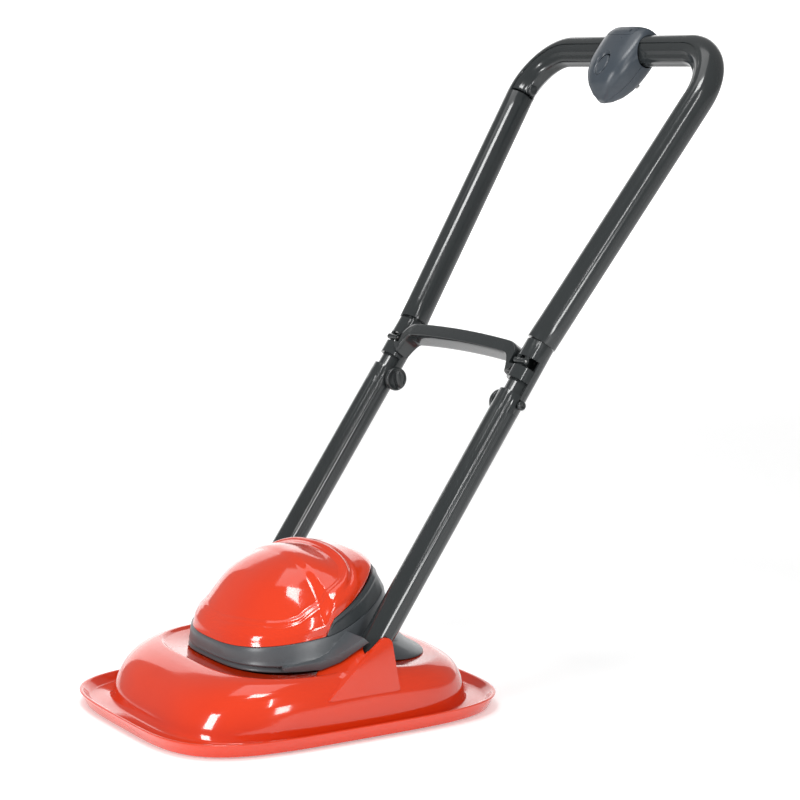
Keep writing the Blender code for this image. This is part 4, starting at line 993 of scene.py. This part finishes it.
def surface_groove(line, radius):
    """Round-bottomed groove along (x, down) points on the front of the box."""
    rings = []
    for i, (x, down) in enumerate(line):
        before, after = line[max(i - 1, 0)], line[min(i + 1, len(line) - 1)]
        ahead = upper_point(after[0], BAR_S - after[1], box_front(*after))
        ahead -= upper_point(before[0], BAR_S - before[1], box_front(*before))
        across = UPPER_FRONT.cross(ahead.normalized())
        centre = upper_point(x, BAR_S - down, box_front(x, down))
        rings.append([centre + across * (radius * math.cos(a)) + UPPER_FRONT * (radius * math.sin(a))
                      for a in (math.tau * k / 10 for k in range(10))])
    return bridge(rings)


def button_shape(half_across, half_along, low, high, crown=0.0, steps=64):
    """Oval prism square to the box's face, with a softly domed top."""
    levels = [(low, 1.0), (high - crown, 1.0)]
    if crown:
        levels += [(high - crown * (1 - math.sin(a)), 0.6 + 0.4 * math.cos(a))
                   for a in (math.radians(d) for d in (20, 45, 70, 90))]
    rings = []
    for front, size in levels:
        rings.append([upper_point(half_across * size * math.cos(a),
                                  BAR_S - BUTTON_DOWN + half_along * size * math.sin(a), front)
                      for a in (math.tau * j / steps for j in range(steps))])
    return bridge(rings)


def lid_line():
    """Outline of the small lid at the top of the control box."""
    corner, half = 5.0, 20.0
    line = [(-half, -15.0 + 1.2 * j) for j in range(6)]
    line += [(-half + corner - corner * math.cos(a), -9 + corner * math.sin(a) + 0.0)
             for a in (math.radians(15 * j) for j in range(1, 7))]
    line += [(-half + corner + (2 * (half - corner)) * j / 16, -4.0) for j in range(1, 16)]
    line += [(half - corner + corner * math.sin(a), -9 + corner * math.cos(a))
             for a in (math.radians(15 * j) for j in range(0, 6))]
    return line + [(half, -9.0 - 1.2 * j) for j in range(6)]


def make_control_box():
    """Two half shells clamped round the grip, with a lid and a button."""
    for label, sign in (("front", 1), ("back", -1)):
        shell = make_piece(f"box_{label}", *bridge(box_rings(0)), "slate", "upper_handle",
                           [f"control_box_{label}"], 50)
        cut_shape(shell, *bridge(box_rings(2.6)[1:-1]))
        cut_shape(shell, *grip_room(40))
        keep_shape(shell, *half_space(sign))
        if sign > 0:
            cut_shape(shell, *button_shape(7.6, 11.6, 10, 30))
            dish = []
            for rise, size in ((-1.9, 0.82), (-1.1, 0.94), (0.0, 1.0), (4.0, 1.08)):
                dish.append([upper_point(10.2 * size * math.cos(a),
                                         BAR_S - BUTTON_DOWN + 14.4 * size * math.sin(a), 22.0 + rise)
                             for a in (math.tau * j / 64 for j in range(64))])
            cut_shape(shell, *bridge(dish))
            cut_shape(shell, *surface_groove(lid_line(), 0.55))
            screw = upper_point(13.5, BAR_S + 9.5, box_front(13.5, -9.5) - 1.0)
            cut_shape(shell, *rod(screw, screw + UPPER_FRONT * 5, 1.7, 24))
        else:
            for x in (-15, 15):
                low, high = upper_point(x, BAR_S - 30, -20), upper_point(x, BAR_S - 30, -2)
                cut_shape(shell, *rod(low, high, 1.6, 24))
        soften(settle(shell), 0.45, 45)


def make_button():
    make_piece("start_button_cap", *button_shape(7.2, 11.2, 15.6, 21.6, 1.6), "slate", "start_button",
               ["start_button"], 50)
    turns, wire = 6, 0.45
    rings = []
    steps = turns * 20
    for i in range(steps + 1):
        angle = math.tau * turns * i / steps
        front = 3.5 + 11.2 * i / steps
        out = X_AXIS * math.cos(angle) + UPPER_DIR * math.sin(angle)
        centre = upper_point(0, BAR_S - BUTTON_DOWN, front) + out * 2.7
        rings.append([centre + (out * math.cos(a) + UPPER_FRONT * math.sin(a)) * wire
                      for a in (math.tau * k / 8 for k in range(8))])
    make_piece("return_spring", *bridge(rings), "steel", "upper_handle", ["button_spring"])


def make_box_screws():
    for hand, side in (("left", 1), ("right", -1)):
        profile = [(1.8, -3), (2.4, -2.8), (2.6, -2.2), (2.6, -1.2), (1.3, -1.0), (1.3, 3)]
        screw_piece(f"lid_screw_{hand}", profile, upper_point(side * 15, BAR_S - 30, -15.2), UPPER_FRONT,
                    "upper_handle", f"box_screw_{hand}", 0.9)


# ---------------------------------------------------------------- stage, lights and camera

def pale(name, colour, glow):
    """Plain studio surface with a trace of unevenness."""
    material = bpy.data.materials.new(name)
    material.use_nodes = True
    tree = material.node_tree
    shader = tree.nodes["Principled BSDF"]
    coords = node(tree, "ShaderNodeTexCoord").outputs["Object"]
    patchy = remap(tree, noise_node(tree, coords, 3, 2), 0, 1)
    tree.links.new(tinted(tree, patchy, colour, [c * 0.985 for c in colour]), shader.inputs["Base Color"])
    shader.inputs["Roughness"].default_value = 0.85
    shader.inputs["Specular IOR Level"].default_value = 0.2
    shader.inputs["Emission Color"].default_value = (1, 1, 1, 1)
    shader.inputs["Emission Strength"].default_value = glow
    return material


def make_sheet(name, corners, material):
    mesh = bpy.data.meshes.new(name)
    mesh.from_pydata(corners, [], [(0, 1, 2, 3)])
    mesh.materials.append(material)
    sheet = bpy.data.objects.new(name, mesh)
    bpy.context.scene.collection.objects.link(sheet)


def direction(azimuth, elevation):
    """Unit vector; azimuth 0 is the mower's front and 90 its left side."""
    a, e = math.radians(azimuth), math.radians(elevation)
    return Vector((math.sin(a) * math.cos(e), -math.cos(a) * math.cos(e), math.sin(e)))


def make_softbox(name, azimuth, elevation, distance, width, height, radiance, roll=0.0):
    light = bpy.data.lights.new(name, "AREA")
    light.shape = "RECTANGLE"
    light.size, light.size_y = width, height
    light.energy = radiance * math.pi * width * height
    box = bpy.data.objects.new(name, light)
    out = direction(azimuth, elevation)
    box.location = Vector((0, -0.08, 0.08)) + out * distance
    box.rotation_euler = out.to_track_quat("Z", "Y").to_euler()
    box.rotation_euler.rotate_axis("Z", math.radians(roll))
    bpy.context.scene.collection.objects.link(box)


def make_stage():
    floor = pale("studio_floor", (0.93, 0.93, 0.93), 0.30)
    reach = 9.0
    make_sheet("floor", [(-reach, -reach, 0), (reach, -reach, 0), (reach, reach, 0), (-reach, reach, 0)],
               floor)
    wall = pale("studio_backdrop", (0.9, 0.9, 0.9), 1.0)
    away = direction(BACKDROP_AZIMUTH, 0) * 3.2
    along = direction(BACKDROP_AZIMUTH + 90, 0)
    corners = [away - along * 2.3, away + along * 2.3]
    make_sheet("backdrop", [corners[0], corners[1], corners[1] + Z_AXIS * 2.3, corners[0] + Z_AXIS * 2.3],
               wall)


BACKDROP_AZIMUTH = -121.9


def make_lights():
    world = bpy.data.worlds.new("studio")
    bpy.context.scene.world = world
    world.use_nodes = True
    background = world.node_tree.nodes["Background"]
    background.inputs["Color"].default_value = (1.0, 1.0, 1.0, 1)
    background.inputs["Strength"].default_value = 0.34
    make_softbox("front_box", 6, 16, 2.0, 0.42, 0.62, 18)
    make_softbox("side_box", 84, 12, 2.0, 0.36, 0.5, 16)
    make_softbox("high_box", 40, 70, 1.9, 0.5, 0.42, 16)
    make_softbox("strip_box", 72, 38, 2.2, 0.08, 0.9, 24)
    make_softbox("top_box", -60, 80, 2.2, 1.2, 1.2, 1.6)


def make_camera():
    camera = bpy.data.cameras.new("camera")
    camera.lens = 102.88
    camera.sensor_width = 36
    camera.clip_start = 0.01
    eye = bpy.data.objects.new("camera", camera)
    eye.location = (1.7803, -1.10404, 0.5746)
    eye.rotation_euler = direction(58.08, 8.23).to_track_quat("Z", "Y").to_euler()
    bpy.context.scene.collection.objects.link(eye)
    bpy.context.scene.camera = eye


# ---------------------------------------------------------------- everything

KEPT_NODES = {
    "white": ("axle_saddle_front_left", "axle_saddle_front_right", "axle_saddle_rear_left",
              "axle_saddle_rear_right", "drive_gear", "clicker_shaft", "ratchet_wheel", "clicker_case",
              "clicker_lid"),
    "steel": ("front_axle_rod", "rear_axle_rod", "clicker_reed"),
}


def main():
    make_camera()
    make_stage()
    make_lights()
    bpy.context.scene.view_settings.view_transform = "Standard"
    make_hood()
    make_surround()
    make_cover()
    make_rear_panel()
    make_base_plate()
    make_base_screws()
    make_pivot_pins()
    make_wheels()
    make_cross_handle()
    for hand, side in (("left", 1), ("right", -1)):
        make_lower_tube(hand, side)
        make_clamps(hand, side)
        make_hinge_pin(hand, side)
        make_sleeve(hand, side)
    make_upper_tube()
    make_control_box()
    make_button()
    make_box_screws()
    for finish, names in KEPT_NODES.items():
        for name in names:
            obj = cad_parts[name]
            obj.material_slots[0].material = FINISHES[finish][1]
            bevel = obj.modifiers.new("edges", "BEVEL")
            bevel.width = 0.2 * MM
            bevel.limit_method = "ANGLE"


main()
bpy.context.view_layer.update()
